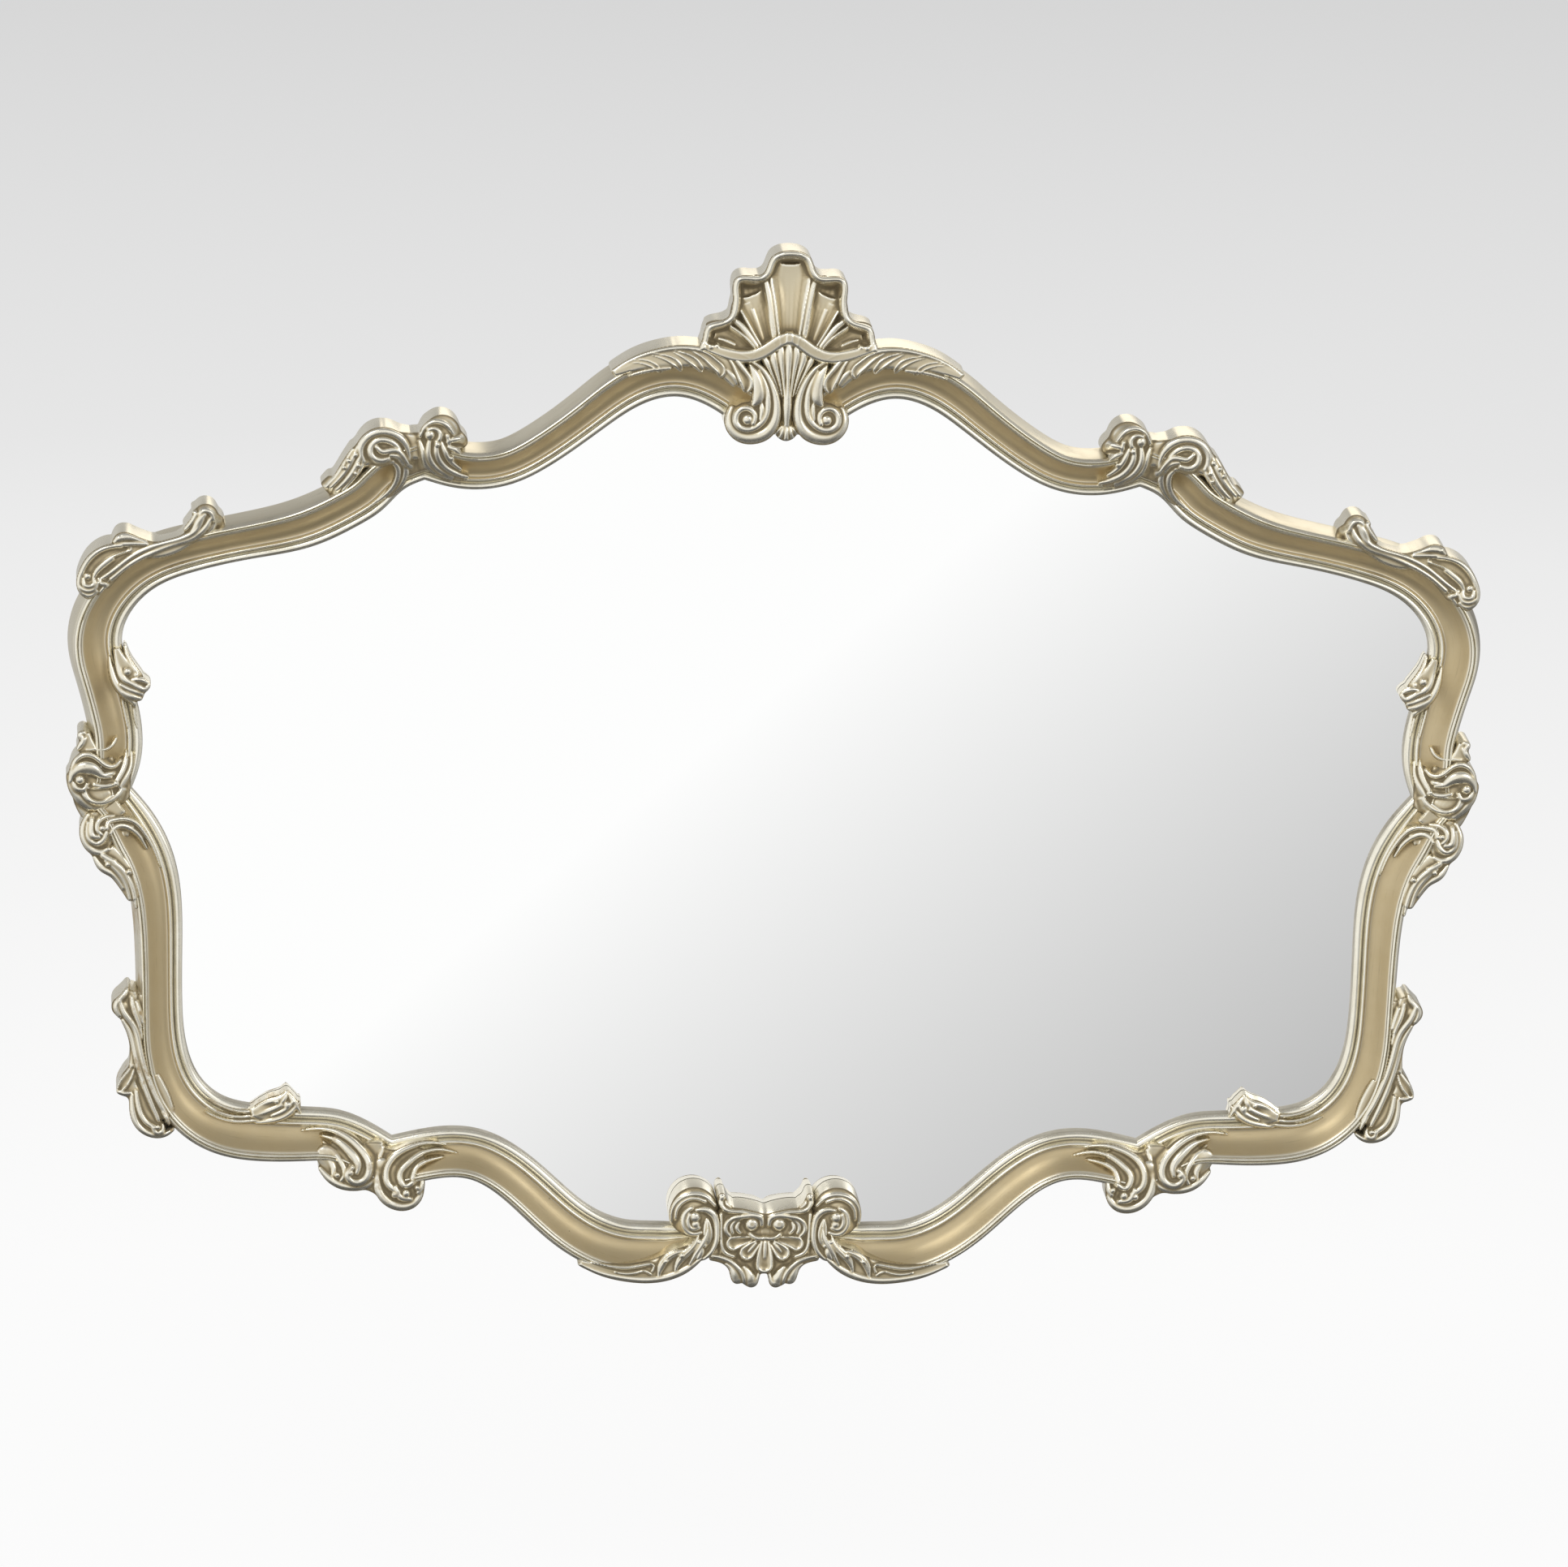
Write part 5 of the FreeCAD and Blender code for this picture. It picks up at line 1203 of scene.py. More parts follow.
def side_volute():
    """The waist scroll: a round eye, hooded above, with a deep bowl below it."""
    work = Carving((2.5, -0.5), back=1.2)
    work.pad([(587, 16, 13), (587, 6, 14), (584, -4, 14), (578, -10, 12)], 28, "roll")
    work.pad([(575, 24, 10), (572, 10, 11), (568, -2, 10), (572, -13, 9)], 22)
    work.pad([(589, 46, 4), (588, 38, 6), (586, 30, 8)], 29)
    work.pad([(556, 20, 6), (558, 4, 8), (560, -8, 9)], 17.5, "roll")
    work.strokes(
        [(601, 4, 1.5, 33), (600, 14, 2, 34), (596, 23, 2, 34.6), (587.5, 26.8, 1.9, 35),
         (579.5, 23.6, 1.7, 34.4), (573.5, 18.4, 1.5, 33), (566, 16.6, 1.4, 30), (559.8, 21.6, 1, 25)],
        [(598.6, 1.5, 1.2, 34), (595.6, -3, 1.6, 35), (590, -3.4, 1.4, 34.6), (587.6, 1, 1, 34)],
        [(576.5, 8, 1, 33.4), (571, 9.6, 1.5, 32.6), (566, 10.6, 1, 30.6)],
        [(581, 0.5, 1.2, 32), (573, -0.8, 1.8, 32), (564.4, 0.6, 1.5, 30)],
        [(589.8, -3.6, 1.2, 33.4), (586, -12, 1.6, 33.8), (578, -15.4, 1.7, 33), (569, -13.8, 1.6, 31),
         (561.4, -8, 1.4, 28.6), (558, -3, 1, 26)],
        [(581, -21, 1, 29), (572, -18.6, 1.6, 28), (559.8, -11.4, 1, 24)],
        [(554.5, 31, 1, 20), (555.4, 20, 1.7, 24), (559.8, 8.6, 1.8, 28), (563.4, 2.4, 1.4, 30.4)],
        [(550, 30, 1, 18), (550.6, 17, 1.8, 21), (555.6, 6, 1.8, 25), (559.6, -1, 1.2, 27)])
    work.stroke([(600.5, 5, 2.4, 33), (596.6, 12, 5.2, 36), (588.6, 15.6, 6.6, 37.2),
                 (580.4, 13, 5.4, 36.4), (574, 8.6, 3.4, 34), (567, 7.6, 1.8, 31)], "roll", 6)
    work.stroke([(590, -4.5, 2.4, 33.4), (583.4, -8.4, 6, 33.2), (574.6, -8.2, 5.8, 32),
                 (566.4, -5, 3.4, 30)], "hollow", 9)
    work.pad([(590, -12, 9), (585, -22, 9), (580, -29, 8)], 24, "roll", 5)
    work.stroke([(602, 8, 3, 31), (599.5, -2.5, 3.4, 31.4), (593, -12, 3.6, 31.2), (584.5, -19.5, 3, 30)],
                "roll")
    work.ball(593.4, 4.8, 4, 37.7).ball(563, 1.6, 2.4, 31.6)
    work.strokes(
        [(588, 31.2, 1, 32), (580, 31, 1.4, 31.4), (572, 31.8, 1.5, 29), (566.4, 35.4, 1.6, 26.4),
         (562.8, 42, 1, 24.5)],
        [(589.6, 47, 1, 32), (593.6, 44.4, 2.2, 33), (591, 40, 1.6, 33)],
        [(589.2, 41, 1, 32.6), (592.6, 36, 2.2, 33.4), (595.4, 31.4, 1.3, 32)])
    carve_pair("side_volute", work)


def side_scroll():
    """The scroll under the waist, its bands running on as the ridge below it."""
    work = Carving((6.0, -3.0))
    work.pad([(578, -28, 8), (575, -38, 13), (574, -48, 11), (572, -58, 6)], 28, "roll")
    work.pad([(566, -32, 8), (556, -34, 9), (547, -38, 6)], 21)
    work.pad([(567, -56, 8), (559, -66, 10), (550, -80, 9), (543, -98, 5)], 29)
    work.pad([(570, -22, 9), (562, -18, 10), (556, -14, 9)], 24)
    work.strokes(
        [(583, -23.5, 1.5, 31), (587, -35, 2.6, 33.4), (585.4, -46, 3, 34), (579.6, -54, 3, 34),
         (571.5, -56.4, 2.4, 33.6), (565.5, -53.5, 1.3, 32.5)],
        [(582.6, -30.5, 1, 34), (583.2, -38.5, 1.6, 35.2), (580.2, -46.6, 1.7, 35.6),
         (574.8, -48.8, 1.7, 35.6), (569.2, -44.4, 1.6, 35.4), (567.4, -39, 1, 34.6)],
        [(579.4, -27.5, 1.2, 34.6), (580.2, -35, 2.1, 36.2), (578.4, -42.2, 2.3, 36.6),
         (574, -43, 1.8, 36.2)],
        [(560.8, -24.4, 0.9, 28), (569, -25.6, 1.5, 33), (574.4, -30.4, 1.7, 35.6),
         (574.8, -36.8, 1.7, 36.2), (571.6, -40.6, 1.2, 36)],
        [(567.2, -35.4, 1.2, 35), (565.6, -29.8, 1.7, 33), (559.6, -27.6, 1.7, 30), (550.6, -26.8, 1.6, 27),
         (542.8, -30, 1.6, 24), (535, -38.4, 1.5, 21.5), (526.4, -54, 1.2, 19.6), (520.6, -70, 0.7, 18.6)],
        [(563.6, -40, 1.2, 32), (561, -35.4, 2, 30.5), (555, -33, 2.2, 28), (547.4, -35.2, 2.1, 25.5),
         (539.8, -41.4, 1.9, 22.5), (532.4, -53, 1.3, 19.6)],
        [(553.4, -39, 0.9, 24), (554, -48, 1.4, 26), (559.6, -55, 1.4, 29), (564, -58, 0.9, 31)])
    work.ball(570.6, -35.4, 2.6, 36.8)
    work.strokes(
        [(570.4, -59.4, 1.2, 34), (562.6, -64.4, 2.4, 35), (552.2, -73.6, 2.2, 34.6),
         (544.8, -87.4, 1.6, 34), (541, -106, 0.7, 33)],
        [(567.2, -64, 1, 34), (559.6, -70.6, 2, 34.6), (550.8, -83, 1.7, 34), (546.4, -98, 0.7, 33)],
        [(577, -61, 1.2, 32), (570.6, -70, 2.8, 33.2), (561.4, -76, 2.4, 33.2), (552.2, -88, 1.2, 32.6)],
        [(572.6, -56, 1, 33), (566.4, -61, 1.8, 34.6), (560, -64, 1, 34.6)])
    work.ball(547.6, -73.6, 2.4, 35.2).ball(565.8, -67.2, 2.1, 35.4)
    carve_pair("side_scroll", work)


def lower_leaf():
    """The leaf at the lower corner: a ball head, a reeded stem along the edge, a lobe and a corner curl."""
    work = Carving((1.5, -2.0))
    work.ball(557.5, -194, 8.6, 34.5, 1.1)
    work.pad([(532, -256, 8), (523, -276, 9), (516, -292, 7)], 26.5)
    work.pad([(545, -184, 8), (542, -198, 8), (540, -212, 6)], 27)
    work.pad([(549, -180, 5), (552, -194, 8), (549, -210, 6), (545, -230, 5), (545, -248, 5.5)], 29)
    work.pad([(546, -250, 5), (551, -262, 7), (544, -276, 6), (541, -288, 7), (533, -299, 9),
              (523, -304, 7)], 28)
    work.strokes(
        [(552, -177, 1, 32), (556, -184, 2, 35), (561.6, -192, 2, 35.6), (559, -202, 1.8, 35)],
        [(559, -189, 1.2, 35.6), (554.8, -199.6, 2.2, 36), (547.4, -210.4, 2.3, 35.4),
         (541.8, -228.6, 2.3, 35), (537.4, -246.8, 2.1, 34.6), (529.4, -269, 1.9, 34),
         (520.4, -286.6, 1.6, 33.4), (515.6, -294, 1, 32.4)],
        [(549, -186, 1, 34), (546.8, -196.6, 1.9, 34.8), (542.6, -208.4, 1.5, 34.4),
         (539.6, -222, 0.8, 33.6)],
        [(556, -206, 1.2, 34), (548.6, -220, 2.2, 34.2), (543.8, -240, 2.3, 34), (538.8, -259, 2.3, 33.8),
         (531.6, -279, 2.1, 33.6), (524.6, -295, 1.6, 33)],
        [(544.5, -190, 0.8, 33.4), (541.8, -200, 1.5, 34), (539.6, -208, 0.8, 33.4)])
    work.stroke([(546.6, -247, 1.6, 32), (551, -256, 3.8, 33.4), (556.6, -265, 4, 33.6),
                 (559.6, -270, 1.8, 32.4)], "blade", 3.6)
    work.strokes(
        [(549, -271, 1, 32), (553.6, -271.6, 2, 33), (559, -270, 1.2, 32.4)],
        [(547.6, -273, 1.4, 32), (547, -286, 2.4, 33.2), (541.6, -300.6, 2.5, 33.6),
         (530.6, -308, 2.4, 33.6), (518.6, -307.6, 2, 33), (511.6, -303, 1.1, 32)],
        [(544, -270, 1.2, 32.6), (541.8, -284, 2.1, 33.6), (535, -297, 2, 34.2), (528, -301.6, 1.6, 34.8)],
        [(521, -288, 0.9, 33), (517.6, -293.4, 1.6, 34), (515.4, -299, 1, 33)])
    work.stroke([(520.4, -299.6, 0.9, 33.6), (521.4, -305, 1.5, 34.4), (526.4, -306.4, 1.5, 34.8),
                 (529, -302, 1.3, 35)])
    work.ball(525, -301.6, 2.3, 35.4)
    carve_pair("lower_leaf", work)


def sill_leaf():
    """A small pointed leaf on the sight edge above the sill, with reeds trailing towards the corner."""
    work = Carving((0.0, 3.0))
    work.pad([(446, -294, 4), (434, -292, 8.5), (421, -289, 11), (410, -289, 7.5)], 19)
    work.strokes(
        [(442, -288, 1, 20), (430, -283.4, 2.6, 22.8), (422, -281, 2.6, 23.4), (416.2, -274.4, 1.2, 21.6)],
        [(444, -296, 1, 20.4), (430, -291.4, 2.4, 23.4), (421, -287, 2.2, 24)],
        [(442, -303, 1, 20.4), (430, -301, 2.4, 23), (418, -297, 2.6, 23.6), (409, -289.4, 1.8, 22.6),
         (404.6, -284, 1, 21)],
        [(404, -294, 1, 20.6), (409, -284.6, 2.4, 22.8), (415.4, -275.4, 1.2, 21.6)],
        [(428, -296, 1, 23.4), (417.6, -291, 2, 24), (411, -284, 1.4, 23)],
        [(421, -285, 1, 23.4), (417.6, -280.6, 1.6, 23.6), (416, -275.6, 0.9, 21.8)])
    work.ball(415.6, -286.6, 3.9, 24.4).ball(424.6, -283.8, 2, 24.2)
    work.strokes(
        [(440, -291.6, 1.4, 20.6), (454, -292.6, 1.5, 19.6), (469, -289, 1.3, 18.4),
         (483, -281.6, 0.8, 17.2)],
        [(440, -300.4, 1.4, 20.6), (456, -302, 1.6, 20), (472, -299.4, 1.3, 19.4), (486, -293, 0.8, 18.6)],
        [(441, -296, 1.2, 20.2), (456, -297.4, 1.4, 19.4), (471, -294.4, 1.2, 18.6),
         (485, -287.4, 0.7, 17.6)])
    carve_pair("sill_leaf", work)


def bottom_clasp():
    """The two scrolls over the lower joint, fed by the reeds of both mouldings."""
    work = Carving((-1.0, 0.5))
    work.pad([(384, -328, 8), (372, -338, 12), (360, -345, 11), (350, -346, 8)], 27, "roll")
    work.pad([(356, -347, 11), (344, -350, 10.5), (332, -354, 12)], 26)
    work.pad([(341, -318, 8), (341, -330, 9), (340, -342, 10)], 22)
    work.pad([(308, -352, 9), (306, -358, 8)], 27, "roll")
    work.pad([(376, -314, 9), (360, -322, 9), (350, -332, 7)], 22)
    work.pad([(334, -338, 7), (326, -350, 12), (318, -362, 14), (312, -366, 11)], 27, "roll")
    work.pad([(298, -330, 8), (312, -332, 9), (326, -332, 8), (338, -330, 8)], 21)
    work.strokes(
        [(404, -307, 0.9, 18.6), (386, -305.4, 1.7, 22), (369.6, -309.8, 2.3, 27), (354, -322.4, 2.7, 32),
         (345.6, -336.6, 2.9, 35), (349, -350, 2.7, 36), (359, -352.4, 2.4, 36.6), (364, -346, 2, 37),
         (360, -339.6, 1.5, 37)],
        [(388, -311, 0.9, 21), (373, -316, 2.4, 28), (361, -326.6, 3.7, 33.4), (355, -337, 3, 35.4),
         (356, -344, 1.6, 35.4)],
        [(386, -316, 0.9, 22), (377.6, -324, 1.7, 28), (370, -334, 1.9, 32.6), (366.4, -345, 1.6, 34.4),
         (369, -351, 1, 33.6)],
        [(384, -322, 0.9, 24), (380.4, -332, 1.8, 29), (375.6, -341.6, 2.2, 31.6), (377, -349, 1.6, 31.6)],
        [(388, -340, 1.2, 29), (381, -348, 2.6, 32), (371, -355, 3, 33), (358.6, -357.4, 3, 33),
         (347, -355, 2.6, 32), (340, -349, 1.4, 30)])
    work.strokes(
        [(268, -327, 0.9, 18.6), (286, -323.6, 1.6, 22), (301, -327.4, 1.9, 27), (313, -336.6, 2.1, 32),
         (319, -347.6, 2.2, 34.6), (313.6, -356, 1.8, 35.4), (307.6, -352.6, 1.2, 35)],
        [(280, -330, 0.9, 21), (294, -333.4, 1.7, 26), (304.4, -340, 1.9, 30), (308, -349, 1.7, 33)],
        [(278, -319, 0.9, 18), (294, -317.6, 1.8, 22), (311, -321.6, 2.3, 27), (324.6, -330.6, 2.5, 31),
         (330.6, -343, 2.5, 33.4), (328, -355, 2.4, 34.6), (320, -361, 1.8, 35.2)],
        [(333, -322, 1.6, 24), (337.6, -336, 2.4, 28), (338.4, -350, 3, 31), (334.4, -364, 3.4, 32.6),
         (324, -373, 3.6, 33), (311, -374, 3.4, 32.6), (301.6, -366, 2.6, 31.6), (299, -356, 1.4, 30)],
        [(300, -346, 1.2, 28), (299, -354, 1.9, 31.6), (302.6, -361.6, 1.4, 32.6)],
        [(322, -357, 1.2, 35), (317.6, -366, 2.4, 35.4), (309.6, -367.6, 1.6, 34.4)])
    work.ball(323, -363.6, 3, 35.8).ball(313, -362.4, 3.6, 36.2).ball(303.6, -357.6, 2.3, 34)
    work.ball(372.6, -346.4, 2.6, 34.6).ball(361, -344.4, 2.4, 37.6)
    carve_pair("bottom_clasp", work)


def bottom_leaf():
    """The leaf that lies along the lower edge towards the middle."""
    work = Carving((0.0, 2.0), fill=0.0)
    work.pad([(160, -426, 3), (140, -432, 6), (118, -435, 8), (96, -433, 10), (78, -427, 11),
              (62, -418, 9)], 31.6)
    work.strokes(
        [(162, -427, 1, 31.4), (142, -435.6, 2.2, 32.6), (122, -440, 3, 33), (100.6, -441.6, 3.2, 33.4),
         (82, -438.4, 3.4, 33.6), (66, -430.6, 3.2, 33.6), (54, -421, 1.6, 33)],
        [(150, -425.6, 0.8, 32.6), (136, -429, 1.5, 34), (119, -430.6, 1.7, 34.4), (104, -428, 1.6, 34.6),
         (96, -428.4, 1.1, 34.4), (97.4, -434, 1, 34)],
        deep=3)
    work.strokes(
        [(91.6, -438, 1, 34), (89.6, -429, 3, 35.6), (83, -420.4, 3.4, 36), (74, -416, 2.6, 35.6),
         (68, -414.6, 1.2, 34.6)],
        [(77, -433, 1, 34.4), (74, -424, 3, 36), (66, -415.4, 3.4, 36.4), (59.4, -406, 2.6, 36),
         (57.6, -400, 1.2, 35)],
        form="leaf", deep=3)
    work.strokes(
        [(65, -427, 1, 34.4), (58.6, -415.6, 2.8, 36), (52, -403.6, 2.8, 36.4), (49.6, -393, 1.4, 35.6)],
        [(112, -436, 0.8, 33), (104, -433.6, 1.3, 33.8), (98, -437, 0.8, 33)],
        [(130, -434.6, 0.8, 33), (116, -436, 1.4, 33.6), (108, -434, 0.8, 33)],
        deep=3)
    work.ball(72, -419.4, 2.2, 37).ball(86, -424.6, 2, 36.8)
    carve_pair("bottom_leaf", work)


def bottom_scroll():
    """The large scroll beside the plaque: a smooth domed drum, a spiral cone on it and the band's tail."""
    work = Carving((-1.0, 0.5), fill=0.0, flare=3.0)
    work.pad([(63, -377, 20.5), (63, -379.5, 21.5)], 34, "roll", 14)
    work.pad([(55, -388, 14), (51, -400, 10), (54, -412, 8), (60, -418, 6)], 31, "roll", 5)
    work.strokes(
        [(82.6, -389, 0.6, 30), (82.6, -378, 1.1, 32), (77.4, -368.4, 1.4, 34.2), (69, -363.4, 1.5, 35.2),
         (60, -362.6, 1.5, 35.4), (51.6, -366, 1.3, 35.2), (45.4, -372, 1, 35)],
        [(79, -384, 0.6, 33), (78, -376, 0.9, 34.4), (72, -368.6, 1.1, 35.2), (63, -366, 1.1, 35.6),
         (54, -368.8, 1, 35.4)],
        [(57, -397, 1, 34.6), (64, -398.4, 1.7, 35), (70.4, -394, 1.9, 35.4), (72.6, -386, 1.9, 35.8),
         (70, -378.4, 1.9, 36), (65.6, -375, 1.3, 36.2)],
        [(59, -392.6, 1, 35.4), (64.6, -393.8, 1.4, 36), (68.6, -388, 1.4, 36.4), (67.2, -380.8, 1.2, 36.6)])
    work.stroke([(61, -376.6, 1.8, 36.4), (53, -376.4, 3.2, 36.8), (46.2, -381, 3.2, 36.8),
                 (43, -392, 2.9, 36.6), (43.2, -404, 2.8, 36.2), (47, -414, 2.5, 35.6),
                 (54, -421, 1.4, 34.6)], "roll", 3.4)
    work.stroke([(51.6, -386, 1.8, 34.6), (51, -394, 4, 35.2), (51, -403, 3.6, 35),
                 (53.4, -409, 1.8, 34.4)], "leaf", 2.6)
    work.ball(62.6, -383, 5.6, 37.8, 1.2).ball(62, -389.4, 4.2, 36.6)
    work.stroke([(62.6, -405.6, 1.8, 34.6), (58, -405.6, 3.2, 35.6), (53.4, -409, 2.2, 35.2)], "roll", 3)
    work.stroke([(58, -408, 2.6, 34.4), (56.4, -414, 3.4, 35), (59, -420, 2.4, 34.2)], "roll", 3)
    carve_pair("bottom_scroll", work)


def bottom_cartouche():
    """The plaque: a dipped top with horns, two bright scroll eyes, a fan of petals and two leafy feet."""
    work = Carving(fill=0.0, ground=4.0, flare=3.5)
    work.pad([(-3, -400.6, 20), (8, -399.2, 20.4), (18, -397.6, 21.4), (28, -396.2, 21.8),
              (37.4, -396.4, 20.4)], 31.6)
    work.pad([(47, -413, 9), (41, -413.6, 9.4), (33, -415.4, 10), (26, -418, 11)], 30, "flat")
    work.pad([(22.4, -420, 6.8), (22.6, -430, 6.2), (22.2, -437, 6)], 30, "roll", 6)
    work.pad([(9.4, -420, 9), (10.6, -432, 6.6), (10.8, -440, 6.2)], 30, "roll", 6)
    work.stroke([(37.6, -362.6, 1.5, 32), (39, -366, 2.6, 34.2), (39.2, -370, 2.2, 35.4),
                 (37.2, -374, 1.6, 35.8), (32, -376.8, 1.5, 36), (22, -377.8, 1.4, 36),
                 (12, -379.2, 1.5, 36.2), (4, -382, 1.2, 36)])
    work.ball(38.4, -364.6, 3.4, 35.8, 1.2)
    work.stroke([(35.2, -367, 1, 33), (34, -370.6, 1.4, 34), (30, -373.6, 1, 33.8)])
    work.strokes(
        [(38.8, -380, 0.9, 34.6), (38.6, -394, 1.1, 34.8), (38, -406, 1, 34.4), (34, -414.6, 1, 34.2),
         (27, -418, 1, 34.2)],
        [(3.2, -389, 1.4, 36), (4.4, -383.4, 2.4, 37), (10.6, -380.9, 2.6, 37.2), (19, -381.6, 1.8, 36.8),
         (28, -383.4, 1.6, 36.4), (33.6, -388.2, 1.6, 36), (34.4, -394.4, 1.5, 35.6), (31, -399.2, 1, 35)],
        [(20, -383.6, 0.8, 35), (26.6, -386.4, 1, 35.4), (29.6, -391, 1.1, 35.4), (28.4, -396.4, 0.8, 35)],
        [(23.4, -387.6, 0.8, 34.8), (25, -391.6, 1.3, 35.2), (22, -396.4, 0.9, 34.6)],
        [(13, -397.6, 0.9, 35), (9.2, -400.6, 1.1, 35.6), (4, -401.6, 1.2, 35.8), (-1, -401.2, 1.2, 35.8)],
        [(46, -417.6, 0.8, 31.6), (38, -419, 1.2, 32.8), (31, -421.6, 1.3, 34.4), (24.6, -426.4, 1.5, 35.4),
         (19.8, -432, 1.4, 35.6), (17.4, -438, 1, 35), (16.8, -443, 0.6, 33.6)])
    work.ball(11.8, -388.8, 6.4, 38.2)
    work.stroke([(33, -425, 1.4, 32), (27.6, -429, 3.4, 33.6), (24.6, -435, 4.6, 33.8),
                 (23, -438.4, 4.8, 33.2)], "roll", 3.6)
    work.stroke([(17, -428, 2.4, 33.6), (13.4, -434, 4.4, 34.8), (11.2, -439.4, 5.2, 34.8),
                 (10.6, -441, 5.2, 34.4)], "roll", 4)
    work.stroke([(4.4, -433, 0.7, 33.4), (5.6, -438, 0.9, 33.8), (7.4, -443, 0.6, 33)])
    work.strokes(
        [(0, -404, 3.2, 35), (0, -412, 5.6, 36.4), (0, -420, 7.6, 37), (0, -425.4, 7.8, 36.6)],
        [(5.6, -404.6, 2.2, 35), (10.6, -409.6, 5, 35.8), (15.2, -414.6, 7, 36)],
        [(13, -402.4, 2.4, 34.4), (20.6, -404, 4.8, 35), (27.2, -406.2, 6.8, 35.2)],
        form="blade", deep=3.6)
    work.strokes(
        [(0, -405, 0.9, 36), (0, -412, 1.4, 36), (0, -419, 0.8, 35.2)],
        [(8, -406, 0.7, 35), (11.6, -410.6, 1, 35.2), (13.8, -413.4, 0.6, 34.8)])
    carve_middle("bottom_cartouche", work)


for carve in (crest_shell, crest_palmette, crest_scroll, crest_leaf, upper_clasp, shoulder_leaf, side_leaf,
              side_volute, side_scroll, lower_leaf, sill_leaf, bottom_clasp, bottom_leaf, bottom_scroll,
              bottom_cartouche):
    carve()


# Hangers, turn buttons and screws, in millimetres, with y as the depth

PIVOTS = {joint["child"]: [round(value / MM, 3) for value in joint["pos_m"]] for joint in frame["joints"]}
HANGER_X, EYE_Y, _ = PIVOTS["ring_right"]
EYE, STRAP_HALF, PLATE_HALF = 2.05, 8.0, 0.6        # the eye's radius, half the strap's width and thickness
STRAP_FOOT, FOOT_ROUND = -44, 4                     # z of its rounded lower end, and that rounding
STRAP_FROM, STRAP_TO, EYE_TURN = -36, -2, 232       # z of its straight part; degrees that the eye is rolled
RING, RING_DROP = 12.2, 7                           # the half circle's radius, and its middle below the eye
BAR_HALF, BEND, WIRE = 9.2, 3, 1.2                  # half the bar's length; radii of its corners and wire
BUTTONS = ("top", "shoulder", "lower", "bottom")
BUTTON_LENGTH, BUTTON_HALF, BUTTON_HOLE = 19.0, 5.5, 1.7    # pivot to the far end's middle, and two radii
# the rims of a button as y, how far it is drawn in and whether it is the hole's
BUTTON_RIMS = ((-5.7, 0.35, False), (-5.4, 0.0, False), (-4.5, 0.0, False), (-4.1, 0.45, False),
               (-4.1, 0.0, True), (-5.7, 0.0, True))
SCREW_HEAD, SCREW_EDGE = 3.2, 3.17                  # the head's radius, and its outermost row's place
HEAD_RIM, HEAD_DOME = 0.35, 1.25                    # how tall the head's rim is, and the dome on it
SLOT_HALF, SLOT_FLOOR = 0.44, 0.75                  # half its width, and its floor above the head's underside
SHANK = ((0.1, 1.5), (-9.0, 1.4), (-10.2, 0.4))     # y from the head's underside, and radius
HEADS_ON_STRAP, HEADS_ON_BUTTON = -4.8, -3.9        # where the heads' undersides lie
HANGER_SCREW_PLACES = (-36.0, -26.0)                # z


def bands(rings, sides, closed=False):
    """The faces between rings of points that follow each other in a list."""
    total = rings * sides
    return [(at + i, at + (i + 1) % sides, (at + sides + (i + 1) % sides) % total, (at + sides + i) % total)
            for at in range(0, total if closed else total - sides, sides) for i in range(sides)]


def closed_mesh(name, points, faces, angle=35):
    """A mesh with its faces turned outward, smooth but for its sharp edges."""
    mesh = bpy.data.meshes.new(name)
    mesh.from_pydata(points, [], faces)
    work = bmesh.new()
    work.from_mesh(mesh)
    bmesh.ops.recalc_face_normals(work, faces=work.faces)
    work.to_mesh(mesh)
    work.free()
    mesh.polygons.foreach_set("use_smooth", np.ones(len(mesh.polygons), bool))
    mesh.set_sharp_from_angle(angle=radians(angle))
    return mesh


def wire_ring():
    """The D of the hanger: a wire bar through the eye with its corners bent round to a half circle."""
    line = [(x, 0.0) for x in np.linspace(-BAR_HALF, BAR_HALF, 9)]
    line += [(BAR_HALF + BEND * sin(a), -BEND + BEND * cos(a)) for a in np.linspace(0.2, pi / 2, 6)]
    line += [(RING * cos(a), -RING_DROP - RING * sin(a)) for a in np.linspace(0.0, pi, 33)]
    line += [(-BAR_HALF - BEND * cos(a), -BEND + BEND * sin(a)) for a in np.linspace(0.0, pi / 2 - 0.2, 6)]
    line = np.array(line)
    way = np.roll(line, -1, axis=0) - np.roll(line, 1, axis=0)
    way /= np.linalg.norm(way, axis=1)[:, None]
    points, sides = [], 14
    for (x, z), (dx, dz) in zip(line, way):
        for i in range(sides):
            a = 2 * pi * i / sides
            points.append(((HANGER_X + x + dz * cos(a) * WIRE) * MM, (EYE_Y + sin(a) * WIRE) * MM,
                           (z - dx * cos(a) * WIRE) * MM))
    return closed_mesh("hanger_ring", points, bands(len(line), sides, closed=True), 80)


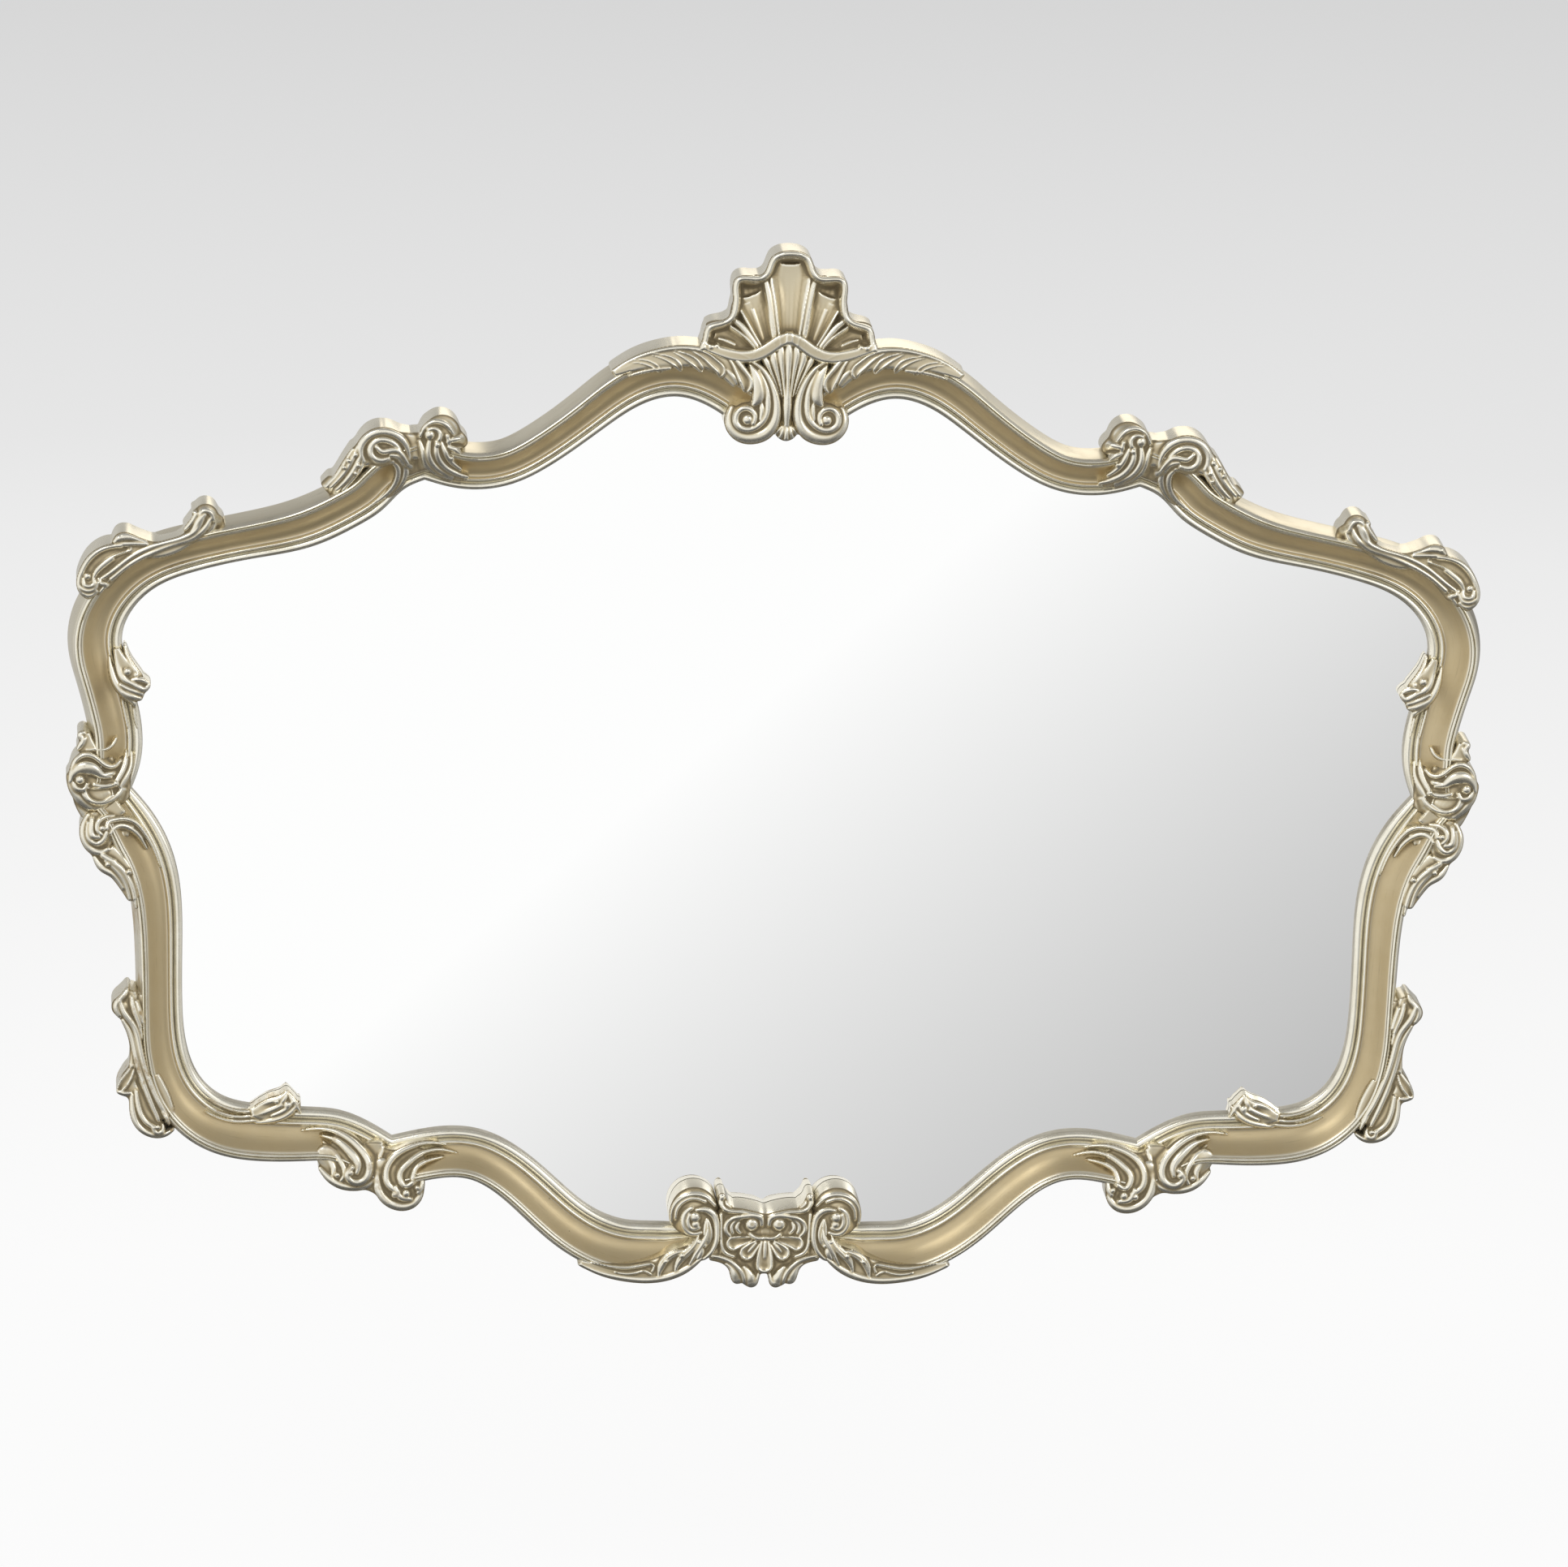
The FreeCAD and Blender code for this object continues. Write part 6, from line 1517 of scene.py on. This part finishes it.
def folded_strap():
    """The strap: a plate with a rounded foot, its top folded over into the eye."""
    line = [(EYE_Y - EYE, STRAP_FOOT + FOOT_ROUND * (1 - cos(a)), FOOT_ROUND + FOOT_ROUND * sin(a))
            for a in np.linspace(0.12, pi / 2, 8)]
    line += [(EYE_Y - EYE, z, STRAP_HALF) for z in np.linspace(STRAP_FROM, STRAP_TO, 8)]
    line += [(EYE_Y - EYE * cos(a), EYE * sin(a), STRAP_HALF) for a in np.linspace(0, radians(EYE_TURN), 20)]
    spots = np.array([row[:2] for row in line])
    way = np.gradient(spots, axis=0)
    way /= np.linalg.norm(way, axis=1)[:, None]
    points = []
    for (y, z, half), (dy, dz) in zip(line, way):
        ring = [(half - 0.3, PLATE_HALF), (half, 0.3), (half, -0.3), (half - 0.3, -PLATE_HALF)]
        ring += [(-x, up) for x, up in ring[::-1]]
        points += [((HANGER_X + x) * MM, (y + dz * up) * MM, (z - dy * up) * MM) for x, up in ring]
    ends = [tuple(range(8))[::-1], tuple(range(len(points) - 8, len(points)))]
    return closed_mesh("hanger_strap", points, ends + bands(len(line), 8))


def turned(x, z, u, v, turn, y):
    """A point u, v from the middle x, z, turned about it, in metres."""
    return (x + u * cos(turn) - v * sin(turn)) * MM, y * MM, (z + u * sin(turn) + v * cos(turn)) * MM


def turn_button(name, side):
    """A flat bar with round ends and broken edges, drilled for its screw."""
    own = nodes[f"{name}_turn_button_{side}"]
    spots = np.array([tuple(own.matrix_world @ vertex.co) for vertex in own.data.vertices]) / MM
    x, _, z = PIVOTS[f"{name}_button_{side}"]
    middle = (spots.max(axis=0) + spots.min(axis=0)) / 2
    turn = atan2(middle[2] - z, middle[0] - x)
    rim = [(far + BUTTON_HALF * cos(a), BUTTON_HALF * sin(a))
           for far, start in ((BUTTON_LENGTH, -pi / 2), (0, pi / 2))
           for a in np.linspace(start, start + pi, 17)]
    points = []
    for depth, inset, hole in BUTTON_RIMS:
        for u, v in rim:
            if hole:
                size = hypot(u, v)
                u, v = u / size * BUTTON_HOLE, v / size * BUTTON_HOLE
            else:
                mid = min(max(u, 0.0), BUTTON_LENGTH)
                u, v = mid + (u - mid) * (1 - inset / BUTTON_HALF), v * (1 - inset / BUTTON_HALF)
            points.append(turned(x, z, u, v, turn, depth))
    faces = bands(len(BUTTON_RIMS), len(rim), closed=True)
    return closed_mesh(f"{name}_turn_button_{side}", points, faces, 25)


def screw_parts(x, z, base, turn, points, faces):
    """A domed head with one slot, standing on its shank; base is the y of the head's underside."""
    across = [SCREW_EDGE * sin(radians(a)) for a in (-90, -72, -55, -40, -26, -15, 15, 26, 40, 55, 72, 90)]
    across = sorted(across + [-0.46, -0.42, 0.42, 0.46])
    start, steps = len(points), 13
    for layer in (1, 0):
        for u in across:
            half = sqrt(SCREW_HEAD ** 2 - u ** 2)
            for k in range(steps):
                v = half * sin(radians(-90 + 180 * k / (steps - 1)))
                size = min(hypot(u, v) / SCREW_HEAD, 1.0)
                tall = HEAD_RIM + HEAD_DOME * sqrt(max(1 - size ** 2, 0.0))
                tall = min(tall, SLOT_FLOOR) if abs(u) < SLOT_HALF else tall
                points.append(turned(x, z, u, v, turn, base + tall * layer))
    rows, layer = len(across), len(across) * steps
    for i in range(rows - 1):
        for k in range(steps - 1):
            a = start + i * steps + k
            b = a + layer
            faces += [(a, a + 1, a + steps + 1, a + steps), (b + steps, b + steps + 1, b + 1, b)]
    edge = [start + i * steps for i in range(rows)]
    edge += [start + (rows - 1) * steps + k for k in range(1, steps)]
    edge += [start + i * steps + steps - 1 for i in range(rows - 2, -1, -1)]
    edge += [start + k for k in range(steps - 2, 0, -1)]
    faces += [(a, b, b + layer, a + layer) for a, b in zip(edge, edge[1:] + edge[:1])]
    start = len(points)
    for y, size in SHANK:
        points += [((x + size * cos(a)) * MM, (base + y) * MM, (z + size * sin(a)) * MM)
                   for a in np.linspace(0, 2 * pi, 17)[:-1]]
    shank = [tuple(range(16)), tuple(range(32, 48))[::-1]] + bands(3, 16)
    faces += [tuple(start + i for i in face) for face in shank]


def screws(name, places):
    """A set of screws as one piece, each with its slot turned another way."""
    points, faces = [], []
    for number, (x, z, base) in enumerate(places):
        screw_parts(x, z, base, 0.4 + number * 1.9, points, faces)
    placed(name, closed_mesh(name, points, faces, 30), steel, stands_for=[name])


placed_pair("hanger_ring_piece", "hanger_ring", wire_ring(), steel, body="ring")
placed_pair("hanger_strap_piece", "hanger_strap", folded_strap(), steel)
for name in BUTTONS:
    for side in SIDES:
        placed(f"{name}_button_piece_{side}", turn_button(name, side), steel, body=f"{name}_button_{side}",
               stands_for=[f"{name}_turn_button_{side}"])
ring_pivots = [PIVOTS[f"ring_{side}"] for side in SIDES]
button_pivots = [PIVOTS[f"{name}_button_{side}"] for side in SIDES for name in BUTTONS]
screws("hanger_screws", [(x, z, HEADS_ON_STRAP) for x, _, _ in ring_pivots for z in HANGER_SCREW_PLACES])
screws("button_screws", [(x, z, HEADS_ON_BUTTON) for x, _, z in button_pivots])
